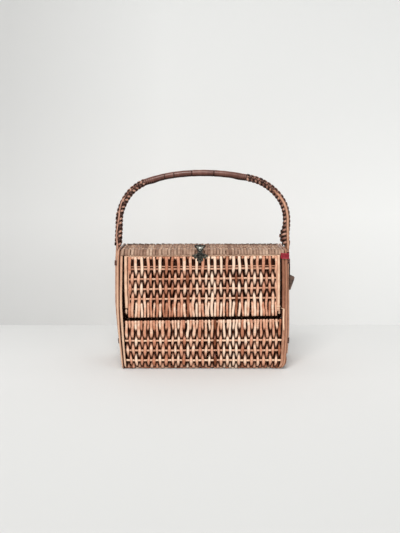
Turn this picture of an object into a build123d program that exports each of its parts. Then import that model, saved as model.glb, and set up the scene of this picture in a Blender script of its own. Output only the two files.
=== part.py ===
from build123d import *
import math
import os

os.makedirs("parts", exist_ok=True)

# A hard wicker handbag. X runs along the front, the front faces -Y, and the bag stands on the plane Z = 0.
# All sizes are in millimetres.

# Body, measured over its outer rods
body_width = 243.0
body_depth = 105.0
body_height = 173.0
bottom_radius = 14.0
top_radius = 10.0

# Cane rods of the frames
outer_rod = 3.8
inner_rod = 4.4
inner_hoop_inset = 0.8
rail_rod = 4.0
stile_rod = 3.9
top_rod = 3.0
hinge_rod_size = 4.4

# Clearances
seat_gap = 0.3
flap_side_gap = 1.6
flap_bottom_gap = 4.4
flap_top_gap = 1.0
bore_gap = 0.15
rod_sides = 8

# Woven walls: reeds run up and down and arch over lengthwise rods
wall = 2.4
reed_rise = 1.6
reed_width = 4.8
reed_pitch = 12.8
arch_length = 13.0
arch_sink = 0.5
rod_pitch = 14.3
gap_width = 5.2
gap_height = 4.2
gap_above_rod = 3.2
open_gap_height = 9.0
rib_rise = 1.0

# The lower front's share of the body's height, and heights measured from its edges and the flap's
front_share = 0.412
front_band = 11.3
front_first_rod_z = 27.0
flap_drop = 10.6
flap_band = 20.0
flap_rod_drop = 17.5
flap_border = 0.5
hinge_rise = 7.3
hinge_loop_wall = 1.8
hinge_loop_length = 4.6
hinge_notch_height = 13.6

# Handle
leg_rod = 6.4
leg_gap = 0.4
leg_foot_z = 12.0
handle_corner_radius = 62.0
handle_crown_radius = 330.0
handle_rise = 109.7
grip_left_x = -95.0
grip_right_x = 67.0
grip_size = 10.0
grip_swell = 0.8
grip_steps = 14
braid_size = 10.4
braid_knot = 1.0
braid_foot_gap = 2.0
knot_pitch = 9.0
wrap_chamfer = 2.6

# Bindings and the side wedge
lashing_wall = 1.4
lashing_height = 9.0
lower_lashing_z = 26.0
upper_lashing_drop = 29.0
binding_wall = 0.8
binding_height = 7.0
binding_reach = 3.0
wedge_drop = 14.5
wedge_height = 23.5
wedge_reach = 8.4
wedge_shoulder = 4.2
wedge_edge = 3.3
wedge_edge_slant = 0.7
wedge_thickness = 8.0
wedge_tip = 2.0
tie_size = 1.4
cane_width = 2.2
cane_thickness = 1.1
cane_length = 32.0

# Clasp
clasp_x = -4.0
clasp_metal = 1.2
plate_half_width = 12.0
plate_height = 13.2
ring_half_width = 7.6
ring_height = 10.6
ring_wall = 1.2
ring_metal = 1.4
ring_finial = 1.4
knuckle_size = 2.8
knuckle_length = 3.0
pin_size = 1.3
hasp_drop = 6.6
button_rise = 2.6
button_shank = 1.6
button_length = 5.6
button_height = 3.2
button_head = 1.3
button_tail = 3.0
rivet_size = 1.8
rivet_head = 0.8
rivet_drop = 7.3
rivet_spread = 4.8
top_plate_half_width = 5.4
top_plate_height = 11.0
strap_width = 7.0
strap_length = 18.0
strap_rivet_reach = (9.9, 15.3)

# Cutting this share of a square's side off each corner leaves an even octagon
octagon_share = 1 / (2 + math.sqrt(2))

# Places that follow from the sizes above
outer_hoop_x = body_width / 2 - outer_rod / 2
inner_hoop_x = outer_hoop_x - outer_rod / 2 - seat_gap - inner_rod / 2
inner_hoop_side_x = inner_hoop_x - inner_rod / 2
wall_end_x = inner_hoop_side_x - seat_gap
face_y = body_depth / 2 - reed_rise
corner_y = body_depth / 2 - bottom_radius
front_bottom_z = bottom_radius + seat_gap / 2
back_top_z = body_height - top_radius - seat_gap / 2
front_top_z = round(front_share * body_height, 1)
flap_bottom_z = front_top_z + flap_bottom_gap
flap_top_z = body_height - flap_drop
hinge_z = flap_bottom_z + hinge_rise
flap_half_width = inner_hoop_side_x - flap_side_gap
flap_panel_half_width = flap_half_width - stile_rod - seat_gap
flap_edge_z = flap_top_z + seat_gap + top_rod
top_front_z = flap_edge_z + flap_top_gap
leg_x = body_width / 2 + leg_gap + leg_rod / 2
handle_top_z = body_height + handle_rise
upper_lashing_z = body_height - upper_lashing_drop
wedge_top_z = upper_lashing_z - wedge_drop
hasp_z = body_height - hasp_drop
button_z = body_height + button_rise
hinge_y = -face_y + wall + seat_gap + hinge_rod_size / 2

# Outward faces of the woven walls, each with its local Y upwards
front_face = Plane(origin=(0, -face_y, 0), x_dir=(1, 0, 0), z_dir=(0, -1, 0))
back_face = Plane(origin=(0, face_y, 0), x_dir=(-1, 0, 0), z_dir=(0, 1, 0))
sides = (("left", -1), ("right", 1))

# As many rods as fit between the borders
front_rod_reach = front_top_z - front_band - open_gap_height - front_first_rod_z
front_rod_count = int(front_rod_reach / rod_pitch) + 1
front_rods = [front_first_rod_z + i * rod_pitch for i in range(front_rod_count)]
flap_last_rod_z = flap_top_z - flap_rod_drop
flap_rod_count = int((flap_last_rod_z - flap_bottom_z - flap_band) / rod_pitch) + 1
flap_rods = [flap_last_rod_z - i * rod_pitch for i in reversed(range(flap_rod_count))]

# The woven width between the end frames
front_width = 2 * wall_end_x


def body_outline(inset):
    """The body's rounded outline seen from the end, inset from its outer face."""
    with BuildSketch(mode=Mode.PRIVATE) as outline:
        with Locations((0, body_height / 2)):
            Rectangle(body_depth - 2 * inset, body_height - 2 * inset)
        fillet(outline.vertices().group_by(Axis.Y)[0], bottom_radius - inset)
        fillet(outline.vertices().group_by(Axis.Y)[-1], top_radius - inset)
    return outline.sketch


def columns(width):
    """How many reed pitches fit across a wall, with room for the half step between rows."""
    return int((width - reed_pitch / 2 - reed_width) / reed_pitch) + 1


def staggered(width, row):
    """Places across a wall, one reed pitch apart, shifted to the left or the right from row to row."""
    count = columns(width)
    shift = reed_pitch / 4 if row % 2 else -reed_pitch / 4
    return [(i - (count - 1) / 2) * reed_pitch + shift for i in range(count)]


def cut_gaps(width, rows, height, first_row=0):
    """Cuts one row of gaps at each height, beside the reeds that arch over that row's rod."""
    places = [(x, z) for row, z in enumerate(rows, first_row) for x in staggered(width, row + 1)]
    with Locations(*places):
        Rectangle(gap_width, height, mode=Mode.SUBTRACT)


def add_arches(face, width, rods):
    """Lays a gabled reed on the wall's face wherever a reed passes over a rod."""
    places = [(x, z) for row, z in enumerate(rods) for x in staggered(width, row)]
    with Locations(*[face.location * Location((x, z, 0)) for x, z in places]):
        add(reed_arch.part)


def add_ribs(face, places, low, high, rise):
    """Adds straight reeds side by side on the wall's face, from one height to the other."""
    with BuildSketch(face.offset(-arch_sink)) as ribs:
        with Locations(*[(x, (low + high) / 2) for x in places]):
            Rectangle(reed_width, high - low)
    extrude(ribs.sketch, amount=rise + arch_sink)


def rod_section(size, mode=Mode.ADD):
    """The section of a cane rod, with flats instead of a full round."""
    RegularPolygon(size / 2, rod_sides, major_radius=False, rotation=180 / rod_sides, mode=mode)


def finish(piece, name):
    """Names a finished piece and writes it."""
    piece.part.label = name
    export_step(piece.part, f"parts/{name}.step")


# One reed where it arches over a rod, lying on a face whose outward direction is Z
with BuildPart() as reed_arch:
    with BuildSketch(Plane.YZ):
        with BuildLine():
            Polyline((-arch_length / 2, -arch_sink), (0, reed_rise), (arch_length / 2, -arch_sink), close=True)
        make_face()
    extrude(amount=reed_width / 2, both=True)

# End frames: an outer and an inner hoop of round cane at each end
for side, sign in sides:
    for kind, x, rod, inset in (
        ("outer", outer_hoop_x, outer_rod, 0),
        ("inner", inner_hoop_x, inner_rod, inner_hoop_inset),
    ):
        with BuildPart() as hoop:
            with BuildSketch(Plane.YZ.offset(sign * x - rod / 2)):
                add(body_outline(inset))
                add(body_outline(inset + rod), mode=Mode.SUBTRACT)
            extrude(amount=rod)
            if kind == "outer":
                outward = hoop.faces().filter_by(Axis.X).sort_by(Axis.X)[0 if sign < 0 else -1]
                chamfer(outward.outer_wire().edges(), length=rod * octagon_share)
        finish(hoop, f"{side}_{kind}_hoop")

# Woven end panels, each inside its outer hoop
end_inset = outer_rod + seat_gap
end_width = body_depth - 2 * end_inset
end_rows = flap_rods[::2]
end_low_z = bottom_radius + outer_rod
end_high_z = body_height - top_radius - outer_rod
end_ribs = [y for y in staggered(end_width, 0) if abs(y) > leg_rod + lashing_wall + reed_width / 2]
for side, sign in sides:
    end_face = Plane(origin=(sign * (outer_hoop_x + wall / 2), 0, 0), x_dir=(0, sign, 0), z_dir=(sign, 0, 0))
    with BuildPart() as end_panel:
        with BuildSketch(Plane.YZ.offset(sign * outer_hoop_x - wall / 2)):
            add(body_outline(end_inset))
            for z in end_rows:
                with Locations(*[(sign * y, z) for y in staggered(end_width, 1)]):
                    Rectangle(gap_width, gap_height, mode=Mode.SUBTRACT)
        extrude(amount=wall)
        add_ribs(end_face, end_ribs, end_low_z, end_high_z, rib_rise)
    finish(end_panel, f"{side}_end_panel")

# Lower front: woven, with an open row under a packed border
front_open_z = front_top_z - front_band - open_gap_height / 2
gap_shift = gap_above_rod + gap_height / 2
with BuildPart() as front_panel:
    with BuildSketch(front_face):
        with Locations((0, (front_bottom_z + front_top_z) / 2)):
            Rectangle(front_width, front_top_z - front_bottom_z)
        cut_gaps(front_width, [z + gap_shift for z in front_rods], gap_height)
        cut_gaps(front_width, [front_open_z], open_gap_height, front_rod_count)
    extrude(amount=-wall)
    add_arches(front_face, front_width, front_rods)
    add_ribs(
        front_face,
        staggered(front_width, front_rod_count),
        front_rods[-1] + arch_length / 2,
        front_top_z,
        rib_rise,
    )
finish(front_panel, "front_panel")

# The rod inside the lower front's border
with BuildPart() as front_rail:
    with BuildSketch(Plane.YZ.offset(-wall_end_x)):
        with Locations((-face_y + wall + seat_gap + rail_rod / 2, front_top_z - rail_rod)):
            rod_section(rail_rod)
    extrude(amount=2 * wall_end_x)
finish(front_rail, "front_rail")

# Back: woven, with an open row at the height of the flap's
with BuildPart() as back_panel:
    with BuildSketch(back_face):
        with Locations((0, (front_bottom_z + back_top_z) / 2)):
            Rectangle(front_width, back_top_z - front_bottom_z)
        cut_gaps(front_width, [flap_rods[-1]], open_gap_height)
    extrude(amount=-wall)
    add_ribs(back_face, staggered(front_width, 0), front_bottom_z, back_top_z, rib_rise)
finish(back_panel, "back_panel")

# Base: a tray that curves up into the front and the back, carried on its reeds
with BuildPart() as base_panel:
    with BuildSketch(Plane.YZ.offset(-wall_end_x)):
        add(body_outline(reed_rise))
        add(body_outline(reed_rise + wall), mode=Mode.SUBTRACT)
        Rectangle(body_depth, 2 * (bottom_radius - seat_gap / 2), mode=Mode.INTERSECT)
    extrude(amount=2 * wall_end_x)
    with BuildSketch(Plane.XY):
        with GridLocations(2 * reed_pitch, 1, columns(front_width) // 4 * 2 + 1, 1):
            Rectangle(reed_width, 2 * corner_y)
    extrude(amount=reed_rise + arch_sink)
finish(base_panel, "base_panel")

# Handle: a cane core that stands outside both ends and rises into a flat arch
corner_centre_x = leg_x - handle_corner_radius
crown_centre_z = handle_top_z - handle_crown_radius
crown_reach = handle_crown_radius - handle_corner_radius
corner_centre_z = crown_centre_z + math.sqrt(crown_reach**2 - corner_centre_x**2)
crown_angle = math.degrees(math.asin(corner_centre_x / crown_reach))
with BuildLine(Plane.XZ) as handle_line:
    Line((-leg_x, leg_foot_z), (-leg_x, corner_centre_z))
    CenterArc((-corner_centre_x, corner_centre_z), handle_corner_radius, 180, crown_angle - 90)
    CenterArc((0, crown_centre_z), handle_crown_radius, 90 + crown_angle, -2 * crown_angle)
    CenterArc((corner_centre_x, corner_centre_z), handle_corner_radius, 90 - crown_angle, crown_angle - 90)
    Line((leg_x, corner_centre_z), (leg_x, leg_foot_z))
handle_path = handle_line.wire()
flat_handle_path = Plane.XZ.to_local_coords(handle_path)
leg_length = corner_centre_z - leg_foot_z


def along_handle(x):
    """How far along the handle's line, from its left foot, its arch has reached a place in X."""
    corner = math.radians(90 - crown_angle) * handle_corner_radius
    crown_half = math.radians(crown_angle) * handle_crown_radius
    if abs(x) <= handle_crown_radius * math.sin(math.radians(crown_angle)):
        return leg_length + corner + crown_half + handle_crown_radius * math.asin(x / handle_crown_radius)
    turned = handle_corner_radius * math.acos((abs(x) - corner_centre_x) / handle_corner_radius)
    return leg_length + turned if x < 0 else handle_path.length - leg_length - turned


def stretch_outline(start, end, halves):
    """The outline of a stretch of the handle, with its half thickness at even steps along it."""
    outer = []
    inner = []
    for step, half in enumerate(halves):
        share = (start + (end - start) * step / (len(halves) - 1)) / handle_path.length
        place = handle_path @ share
        along = handle_path % share
        outer.append((place.X - along.Z * half, place.Z + along.X * half))
        inner.append((place.X + along.Z * half, place.Z - along.X * half))
    return outer + inner[::-1]


# The cane that carries the handle, from the foot of one leg over the arch to the foot of the other
with BuildPart() as handle_core:
    with BuildSketch(Plane.XZ.offset(-leg_rod / 2)):
        trace(flat_handle_path, line_width=leg_rod)
    extrude(amount=leg_rod)
    chamfer(handle_core.faces().filter_by(Axis.Y).edges(), length=leg_rod * octagon_share)
finish(handle_core, "handle_core")

# The arch's smooth wrapping, swollen near both ends, and the plaiting on both sides of it
grip_start = along_handle(grip_left_x)
grip_end = along_handle(grip_right_x)
braid_foot = body_height + braid_foot_gap - leg_foot_z
core_bore = leg_rod + 2 * bore_gap
left_knots = round((grip_start - braid_foot) / knot_pitch)
right_knots = round((handle_path.length - braid_foot - grip_end) / knot_pitch)
grip_halves = [grip_size / 2 + (grip_swell if i in (1, grip_steps - 1) else 0) for i in range(grip_steps + 1)]
for name, start, end, halves in (
    ("left_braid", braid_foot, grip_start - seat_gap, [braid_size / 2, braid_size / 2 + braid_knot] * left_knots),
    ("grip_wrap", grip_start, grip_end, grip_halves),
    (
        "right_braid",
        grip_end + seat_gap,
        handle_path.length - braid_foot,
        [braid_size / 2, braid_size / 2 + braid_knot] * right_knots,
    ),
):
    with BuildPart() as covering:
        with BuildSketch(Plane.XZ.offset(-grip_size / 2)):
            with BuildLine():
                Polyline(*stretch_outline(start, end, halves), close=True)
            make_face()
        extrude(amount=grip_size)
        chamfer(covering.faces().filter_by(Axis.Y).edges(), length=wrap_chamfer)
        with BuildSketch(Plane.XZ.offset(-core_bore / 2)):
            trace(flat_handle_path, line_width=core_bore)
        extrude(amount=core_bore, mode=Mode.SUBTRACT)
    finish(covering, name)

# Lashings that tie each leg to its end panel, open towards the panel
panel_side_x = outer_hoop_x + wall / 2 + seat_gap
for side, sign in sides:
    with BuildPart() as leg_lashing:
        for z in (lower_lashing_z, upper_lashing_z):
            with BuildSketch(Plane.XY.offset(z)):
                with Locations((sign * leg_x, 0)):
                    rod_section(leg_rod + 2 * (seat_gap + lashing_wall))
                    rod_section(leg_rod + 2 * seat_gap, Mode.SUBTRACT)
                with Locations((sign * (panel_side_x - leg_rod), 0)):
                    Rectangle(2 * leg_rod, 4 * leg_rod, mode=Mode.SUBTRACT)
            extrude(amount=lashing_height)
    finish(leg_lashing, f"{side}_leg_lashing")

# Thread wound over both hoops at the top right front corner, open towards the inside
binding_low_x = inner_hoop_side_x - seat_gap / 2
binding_high_x = body_width / 2 + seat_gap / 2
binding_front_y = -body_depth / 2 - seat_gap
binding_x = (binding_low_x + binding_high_x) / 2
binding_inside = binding_high_x - binding_low_x
with BuildPart() as red_binding:
    with BuildSketch(Plane.XY.offset(body_height - top_radius - binding_height)):
        with Locations((binding_x, binding_front_y - binding_wall)):
            Rectangle(
                binding_inside + 2 * binding_wall, binding_wall + binding_reach, align=(Align.CENTER, Align.MIN)
            )
        with Locations((binding_x, binding_front_y)):
            Rectangle(binding_inside, binding_reach, align=(Align.CENTER, Align.MIN), mode=Mode.SUBTRACT)
    extrude(amount=binding_height)
finish(red_binding, "red_binding")

# The dark wedge against the right leg, and the tie that holds it there
wedge_side_x = leg_x + leg_rod / 2 + seat_gap
with BuildPart() as side_wedge:
    with BuildSketch(Plane.XZ.offset(-wedge_thickness / 2)):
        with BuildLine():
            Polyline(
                (wedge_side_x, wedge_top_z),
                (wedge_side_x + wedge_reach, wedge_top_z - wedge_shoulder),
                (wedge_side_x + wedge_reach - wedge_edge_slant, wedge_top_z - wedge_shoulder - wedge_edge),
                (wedge_side_x + wedge_tip, wedge_top_z - wedge_height),
                (wedge_side_x, wedge_top_z - wedge_height),
                close=True,
            )
        make_face()
    extrude(amount=wedge_thickness)
finish(side_wedge, "side_wedge")

with BuildPart() as wedge_tie:
    with BuildSketch(Plane.XY.offset(wedge_top_z + seat_gap)):
        with Locations((wedge_side_x + tie_size / 2, 0)):
            rod_section(tie_size)
    extrude(amount=upper_lashing_z - wedge_top_z - 2 * seat_gap)
finish(wedge_tie, "wedge_tie")

# A pale strip of split cane on the front of the right inner hoop, beside the flap's lower corner
with BuildPart() as corner_cane:
    with BuildSketch(Plane.XY.offset(hinge_z + hinge_rod_size - cane_length)):
        with Locations((inner_hoop_x, inner_hoop_inset - body_depth / 2 - seat_gap)):
            Rectangle(cane_width, cane_thickness, align=(Align.CENTER, Align.MAX))
    extrude(amount=cane_length)
finish(corner_cane, "corner_cane")

# Where the clasp's leafy plate lies on the flap
plate_back_y = -face_y - rib_rise - seat_gap
plate_front_y = plate_back_y - clasp_metal
hasp_y = plate_front_y - knuckle_size / 2 + clasp_metal / 2
plate_top_z = hasp_z - seat_gap
leaf_plane = Plane(origin=(clasp_x, plate_back_y, plate_top_z), x_dir=(1, 0, 0), z_dir=(0, -1, 0))
rivet_depth = wall + rib_rise + seat_gap
rivet_places = [(-rivet_spread, -rivet_drop), (rivet_spread, -rivet_drop)]

# Flap: woven, with its lower corners notched for the hinge loops
flap_panel_width = 2 * flap_panel_half_width
notch_top_z = flap_bottom_z + hinge_notch_height
flap_open_z = flap_top_z - open_gap_height / 2 - flap_border
loop_outer = hinge_rod_size + 2 * bore_gap + 2 * hinge_loop_wall
notch_x = wall_end_x - hinge_loop_length - 2 * seat_gap
with BuildPart() as flap_panel:
    with BuildSketch(front_face):
        with Locations((0, (flap_bottom_z + flap_top_z) / 2)):
            Rectangle(flap_panel_width, flap_top_z - flap_bottom_z)
        with Locations((-notch_x - hinge_loop_length, flap_bottom_z), (notch_x + hinge_loop_length, flap_bottom_z)):
            Rectangle(2 * hinge_loop_length, 2 * hinge_notch_height, mode=Mode.SUBTRACT)
        cut_gaps(flap_panel_width, [z + gap_shift for z in flap_rods[:-1]], gap_height)
        cut_gaps(flap_panel_width, [flap_open_z], open_gap_height, flap_rod_count)
    extrude(amount=-wall)
    add_arches(front_face, flap_panel_width, flap_rods)
    add_ribs(
        front_face, staggered(flap_panel_width, 0)[1:-1], flap_bottom_z, flap_bottom_z + flap_band, rib_rise
    )
    add_ribs(
        front_face,
        staggered(flap_panel_width, flap_rod_count),
        flap_rods[-1] + arch_length / 2,
        flap_top_z,
        rib_rise,
    )
    with BuildSketch(leaf_plane.offset(-rivet_depth)):
        with Locations(*rivet_places):
            rod_section(rivet_size + 2 * bore_gap)
    extrude(amount=rivet_depth, mode=Mode.SUBTRACT)
finish(flap_panel, "flap_panel")

stile_y = -face_y + wall / 2
for side, sign in sides:
    with BuildPart() as flap_stile:
        with BuildSketch(Plane.XY.offset(notch_top_z)):
            with Locations((sign * (flap_half_width - stile_rod / 2), stile_y)):
                rod_section(stile_rod)
        extrude(amount=flap_top_z - notch_top_z)
    finish(flap_stile, f"flap_{side}_stile")

with BuildPart() as flap_top_rod:
    with BuildSketch(Plane.YZ.offset(-flap_half_width)):
        with Locations((stile_y, flap_top_z + seat_gap + top_rod / 2)):
            rod_section(top_rod)
    extrude(amount=2 * flap_half_width)
finish(flap_top_rod, "flap_top_rod")

# The flap turns on its own bottom rod, whose ends sit in cane loops on the inner hoops
with BuildPart() as hinge_rod:
    with BuildSketch(Plane.YZ.offset(-wall_end_x)):
        with Locations((hinge_y, hinge_z)):
            Circle(hinge_rod_size / 2)
    extrude(amount=2 * wall_end_x)
finish(hinge_rod, "hinge_rod")

for side, sign in sides:
    with BuildPart() as hinge_loop:
        loop_x = sign * (wall_end_x - hinge_loop_length / 2)
        with BuildSketch(Plane.YZ.offset(loop_x - hinge_loop_length / 2)):
            with Locations((hinge_y, hinge_z)):
                rod_section(loop_outer)
                Circle(hinge_rod_size / 2 + bore_gap, mode=Mode.SUBTRACT)
        extrude(amount=hinge_loop_length)
    finish(hinge_loop, f"{side}_hinge_loop")

# The rod inside the shoulder along the top panel's front edge
shoulder_reach = (top_radius - reed_rise - wall - seat_gap - rail_rod / 2) / math.sqrt(2)
top_rail_y = top_radius - body_depth / 2 - shoulder_reach
top_rail_z = body_height - top_radius + shoulder_reach
with BuildPart() as top_front_rail:
    with BuildSketch(Plane.YZ.offset(-wall_end_x)):
        with Locations((top_rail_y, top_rail_z)):
            rod_section(rail_rod)
    extrude(amount=2 * wall_end_x)
finish(top_front_rail, "top_front_rail")

# Clasp: a leafy plate riveted to the flap, with two knuckles along its top edge
leaf_half = [
    (0, 0),
    (0.62, 0),
    (0.72, -0.16),
    (1.0, -0.22),
    (0.84, -0.42),
    (0.66, -0.44),
    (0.72, -0.66),
    (0.40, -0.62),
    (0.26, -0.78),
    (0, -1.0),
]
with BuildPart() as clasp_flap_plate:
    with BuildSketch(leaf_plane):
        with BuildLine():
            Polyline(*[(x * plate_half_width, z * plate_height) for x, z in leaf_half], close=True)
        make_face()
        mirror(about=Plane.YZ)
        with Locations(*rivet_places):
            rod_section(rivet_size + 2 * bore_gap, Mode.SUBTRACT)
    extrude(amount=clasp_metal)
    for sign in (-1, 1):
        knuckle_x = clasp_x + sign * (knuckle_length + seat_gap)
        with BuildSketch(Plane.YZ.offset(knuckle_x - knuckle_length / 2)):
            with Locations((hasp_y, hasp_z)):
                rod_section(knuckle_size)
        extrude(amount=knuckle_length)
    with BuildSketch(Plane.XZ.offset(-plate_back_y)):
        with Locations((clasp_x, plate_top_z)):
            Rectangle(knuckle_length + 2 * seat_gap, 2 * knuckle_size)
    extrude(amount=clasp_metal, mode=Mode.SUBTRACT)
    with BuildSketch(Plane.YZ.offset(clasp_x - plate_half_width)):
        with Locations((hasp_y, hasp_z)):
            rod_section(pin_size + 2 * bore_gap)
    extrude(amount=2 * plate_half_width, mode=Mode.SUBTRACT)
finish(clasp_flap_plate, "clasp_flap_plate")

with BuildPart() as flap_plate_rivets:
    with BuildSketch(leaf_plane.offset(-rivet_depth)):
        with Locations(*rivet_places):
            rod_section(rivet_size)
    extrude(amount=rivet_depth + clasp_metal + rivet_head)
    with BuildSketch(leaf_plane.offset(clasp_metal)):
        with Locations(*rivet_places):
            rod_section(2 * rivet_size)
    extrude(amount=rivet_head)
finish(flap_plate_rivets, "flap_plate_rivets")

pin_length = 3 * knuckle_length + 4 * seat_gap
with BuildPart() as clasp_pin:
    with BuildSketch(Plane.YZ.offset(clasp_x - pin_length / 2)):
        with Locations((hasp_y, hasp_z)):
            Circle(pin_size / 2)
    extrude(amount=pin_length)
finish(clasp_pin, "clasp_pin")

# The triangular ring that turns on the pin and stands up over the button
ring_foot = knuckle_size / 2 + ring_wall / 2
ring_plane = Plane(origin=(clasp_x, hasp_y + ring_metal / 2, hasp_z), x_dir=(1, 0, 0), z_dir=(0, -1, 0))
with BuildPart() as hasp_ring:
    with BuildSketch(ring_plane):
        with BuildLine():
            Polyline(
                (0, ring_foot),
                (ring_half_width, ring_foot + ring_height),
                (-ring_half_width, ring_foot + ring_height),
                close=True,
            )
        make_face()
        offset(amount=-ring_wall, kind=Kind.INTERSECTION, mode=Mode.SUBTRACT)
        with Locations((0, ring_foot)):
            Rectangle(knuckle_length, 2 * ring_foot)
        with Locations((0, ring_foot + ring_height)):
            RegularPolygon(ring_finial, 4)
    extrude(amount=ring_metal)
    with BuildSketch(Plane.YZ.offset(clasp_x - knuckle_length / 2)):
        with Locations((hasp_y, hasp_z)):
            rod_section(knuckle_size)
    extrude(amount=knuckle_length)
    with BuildSketch(Plane.YZ.offset(clasp_x - knuckle_length)):
        with Locations((hasp_y, hasp_z)):
            Circle(pin_size / 2 + bore_gap)
    extrude(amount=2 * knuckle_length, mode=Mode.SUBTRACT)
finish(hasp_ring, "hasp_ring")

# The plate behind the ring: it stands on a strap riveted to the top panel
top_plate_front_y = hasp_y + ring_metal / 2 + seat_gap
top_plate_foot_z = hasp_z + knuckle_size / 2 + 2 * seat_gap
strap_z = body_height - reed_rise + rib_rise + seat_gap
strap_front_y = top_plate_front_y + clasp_metal
strap_plane = Plane.XY.offset(strap_z)
strap_rivets = [(clasp_x, strap_front_y + reach) for reach in strap_rivet_reach]
with BuildPart() as clasp_top_plate:
    with BuildSketch(Plane.XZ.offset(-strap_front_y)):
        with BuildLine():
            Polyline(
                (clasp_x - top_plate_half_width / 2, top_plate_foot_z),
                (clasp_x + top_plate_half_width / 2, top_plate_foot_z),
                (clasp_x + top_plate_half_width, top_plate_foot_z + top_plate_height),
                (clasp_x - top_plate_half_width, top_plate_foot_z + top_plate_height),
                close=True,
            )
        make_face()
        with Locations((clasp_x, button_z)):
            rod_section(button_shank + 2 * bore_gap, Mode.SUBTRACT)
    extrude(amount=clasp_metal)
    with BuildSketch(strap_plane):
        with Locations((clasp_x, strap_front_y - clasp_metal / 2)):
            Rectangle(strap_width, strap_length + clasp_metal / 2, align=(Align.CENTER, Align.MIN))
        with Locations(*strap_rivets):
            rod_section(rivet_size + 2 * bore_gap, Mode.SUBTRACT)
    extrude(amount=clasp_metal)
finish(clasp_top_plate, "clasp_top_plate")

strap_rivet_depth = strap_z - (body_height - reed_rise - wall)
with BuildPart() as top_plate_rivets:
    with BuildSketch(strap_plane.offset(-strap_rivet_depth)):
        with Locations(*strap_rivets):
            rod_section(rivet_size)
    extrude(amount=strap_rivet_depth + clasp_metal + rivet_head)
    with BuildSketch(strap_plane.offset(clasp_metal)):
        with Locations(*strap_rivets):
            rod_section(2 * rivet_size)
    extrude(amount=rivet_head)
finish(top_plate_rivets, "top_plate_rivets")

# The button that passes through the ring and is turned across it to lock it
head_back = ring_metal + 2 * seat_gap
button_plane = Plane(origin=(clasp_x, top_plate_front_y, button_z), x_dir=(1, 0, 0), z_dir=(0, -1, 0))
with BuildPart() as turn_button:
    with BuildSketch(button_plane.offset(-clasp_metal - seat_gap)):
        Circle(button_shank / 2)
    extrude(amount=clasp_metal + seat_gap + head_back)
    with BuildSketch(button_plane.offset(head_back)):
        SlotOverall(button_length, button_height)
    extrude(amount=button_head)
    with BuildSketch(button_plane.offset(-clasp_metal - seat_gap)):
        rod_section(button_tail)
    extrude(amount=-rivet_head)
finish(turn_button, "turn_button")

# Top: woven, rounded over both edges, cut back in front for the flap and drilled for the strap's rivets
top_face = Plane.XY.offset(body_height - reed_rise)
top_front_y = top_radius - body_depth / 2
with BuildPart() as top_panel:
    with BuildSketch(Plane.YZ.offset(-wall_end_x)):
        add(body_outline(reed_rise))
        add(body_outline(reed_rise + wall), mode=Mode.SUBTRACT)
        with Locations((0, body_height)):
            Rectangle(body_depth, 2 * (top_radius - seat_gap / 2), mode=Mode.INTERSECT)
        with Locations((-body_depth / 2, top_front_z - top_radius)):
            Rectangle(body_depth, 2 * top_radius, mode=Mode.SUBTRACT)
    extrude(amount=2 * wall_end_x)
    add_ribs(top_face, staggered(front_width, 0), top_front_y, -top_front_y, rib_rise)
    with BuildSketch(top_face.offset(-wall)):
        with Locations(*strap_rivets):
            rod_section(rivet_size + 2 * bore_gap)
    extrude(amount=wall + rib_rise, mode=Mode.SUBTRACT)
finish(top_panel, "top_panel")
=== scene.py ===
# %% [markdown]
# # A basket box bag
# This bag is a hard box of split reed woven over cane rods, with a fixed arched handle and a metal clasp.
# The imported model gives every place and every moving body. This script gives each piece its real surface:
# hundreds of single reeds, plaited cane, wound thread and old metal.

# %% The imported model
import math
import bpy
import numpy as np
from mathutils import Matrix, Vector


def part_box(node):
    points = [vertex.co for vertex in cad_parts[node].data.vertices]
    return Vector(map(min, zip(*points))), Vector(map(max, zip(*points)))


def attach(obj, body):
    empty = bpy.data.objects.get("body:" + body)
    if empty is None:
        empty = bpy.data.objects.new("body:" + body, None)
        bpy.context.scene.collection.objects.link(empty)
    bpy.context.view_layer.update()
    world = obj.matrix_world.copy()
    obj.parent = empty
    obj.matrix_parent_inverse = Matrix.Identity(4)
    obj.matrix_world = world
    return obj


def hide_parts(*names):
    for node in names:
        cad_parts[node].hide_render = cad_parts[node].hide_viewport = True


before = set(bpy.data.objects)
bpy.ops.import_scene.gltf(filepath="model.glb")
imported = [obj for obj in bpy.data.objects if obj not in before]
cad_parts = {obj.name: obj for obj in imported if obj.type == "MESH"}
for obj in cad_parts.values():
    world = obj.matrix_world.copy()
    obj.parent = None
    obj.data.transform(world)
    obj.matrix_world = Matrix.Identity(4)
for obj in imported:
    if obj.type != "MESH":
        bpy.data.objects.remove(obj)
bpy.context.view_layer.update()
draw = np.random.default_rng(11)

# %% [markdown]
# ## Sizes
# The frame already holds the sizes, so they are read from its boxes. Only what the solids leave plain is
# written here: how round the corners are, how thick one reed is, how far apart reeds and rods lie, and how
# far a reed rises over a rod.

# %% Sizes taken from the frame
MM = 0.001


def span(node):
    """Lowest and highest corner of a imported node, as arrays."""
    low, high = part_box(node)
    return np.array(low), np.array(high)


body_half_width, body_half_depth, body_height = span("right_outer_hoop")[1]
bottom_radius = 8.0 * MM
top_radius = 10.0 * MM
flap_low, flap_high = span("flap_panel")
front_high = span("front_panel")[1]
wall_end = front_high[0]

reed_pitch = 4.4 * MM
reed_depth = 0.65 * MM
rod_radius = 1.45 * MM
rod_pitch = 14.3 * MM
wall_middle = rod_radius + 2 * reed_depth
weave_rise = rod_radius + reed_depth
front_rod_z = 41.3 * MM
flap_rod_z = np.array([144.9, 130.6, 116.3, 102.0]) * MM
print("body", 2 * body_half_width, 2 * body_half_depth, body_height)
print("reeds across a wall", int(2 * wall_end / reed_pitch))

# %% [markdown]
# ## Shader maths
# A finish needs sums and products of node outputs. Written as nodes they are hard to read, so a small class
# wraps an output socket and lets Python's own operators add the Math nodes.


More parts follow.
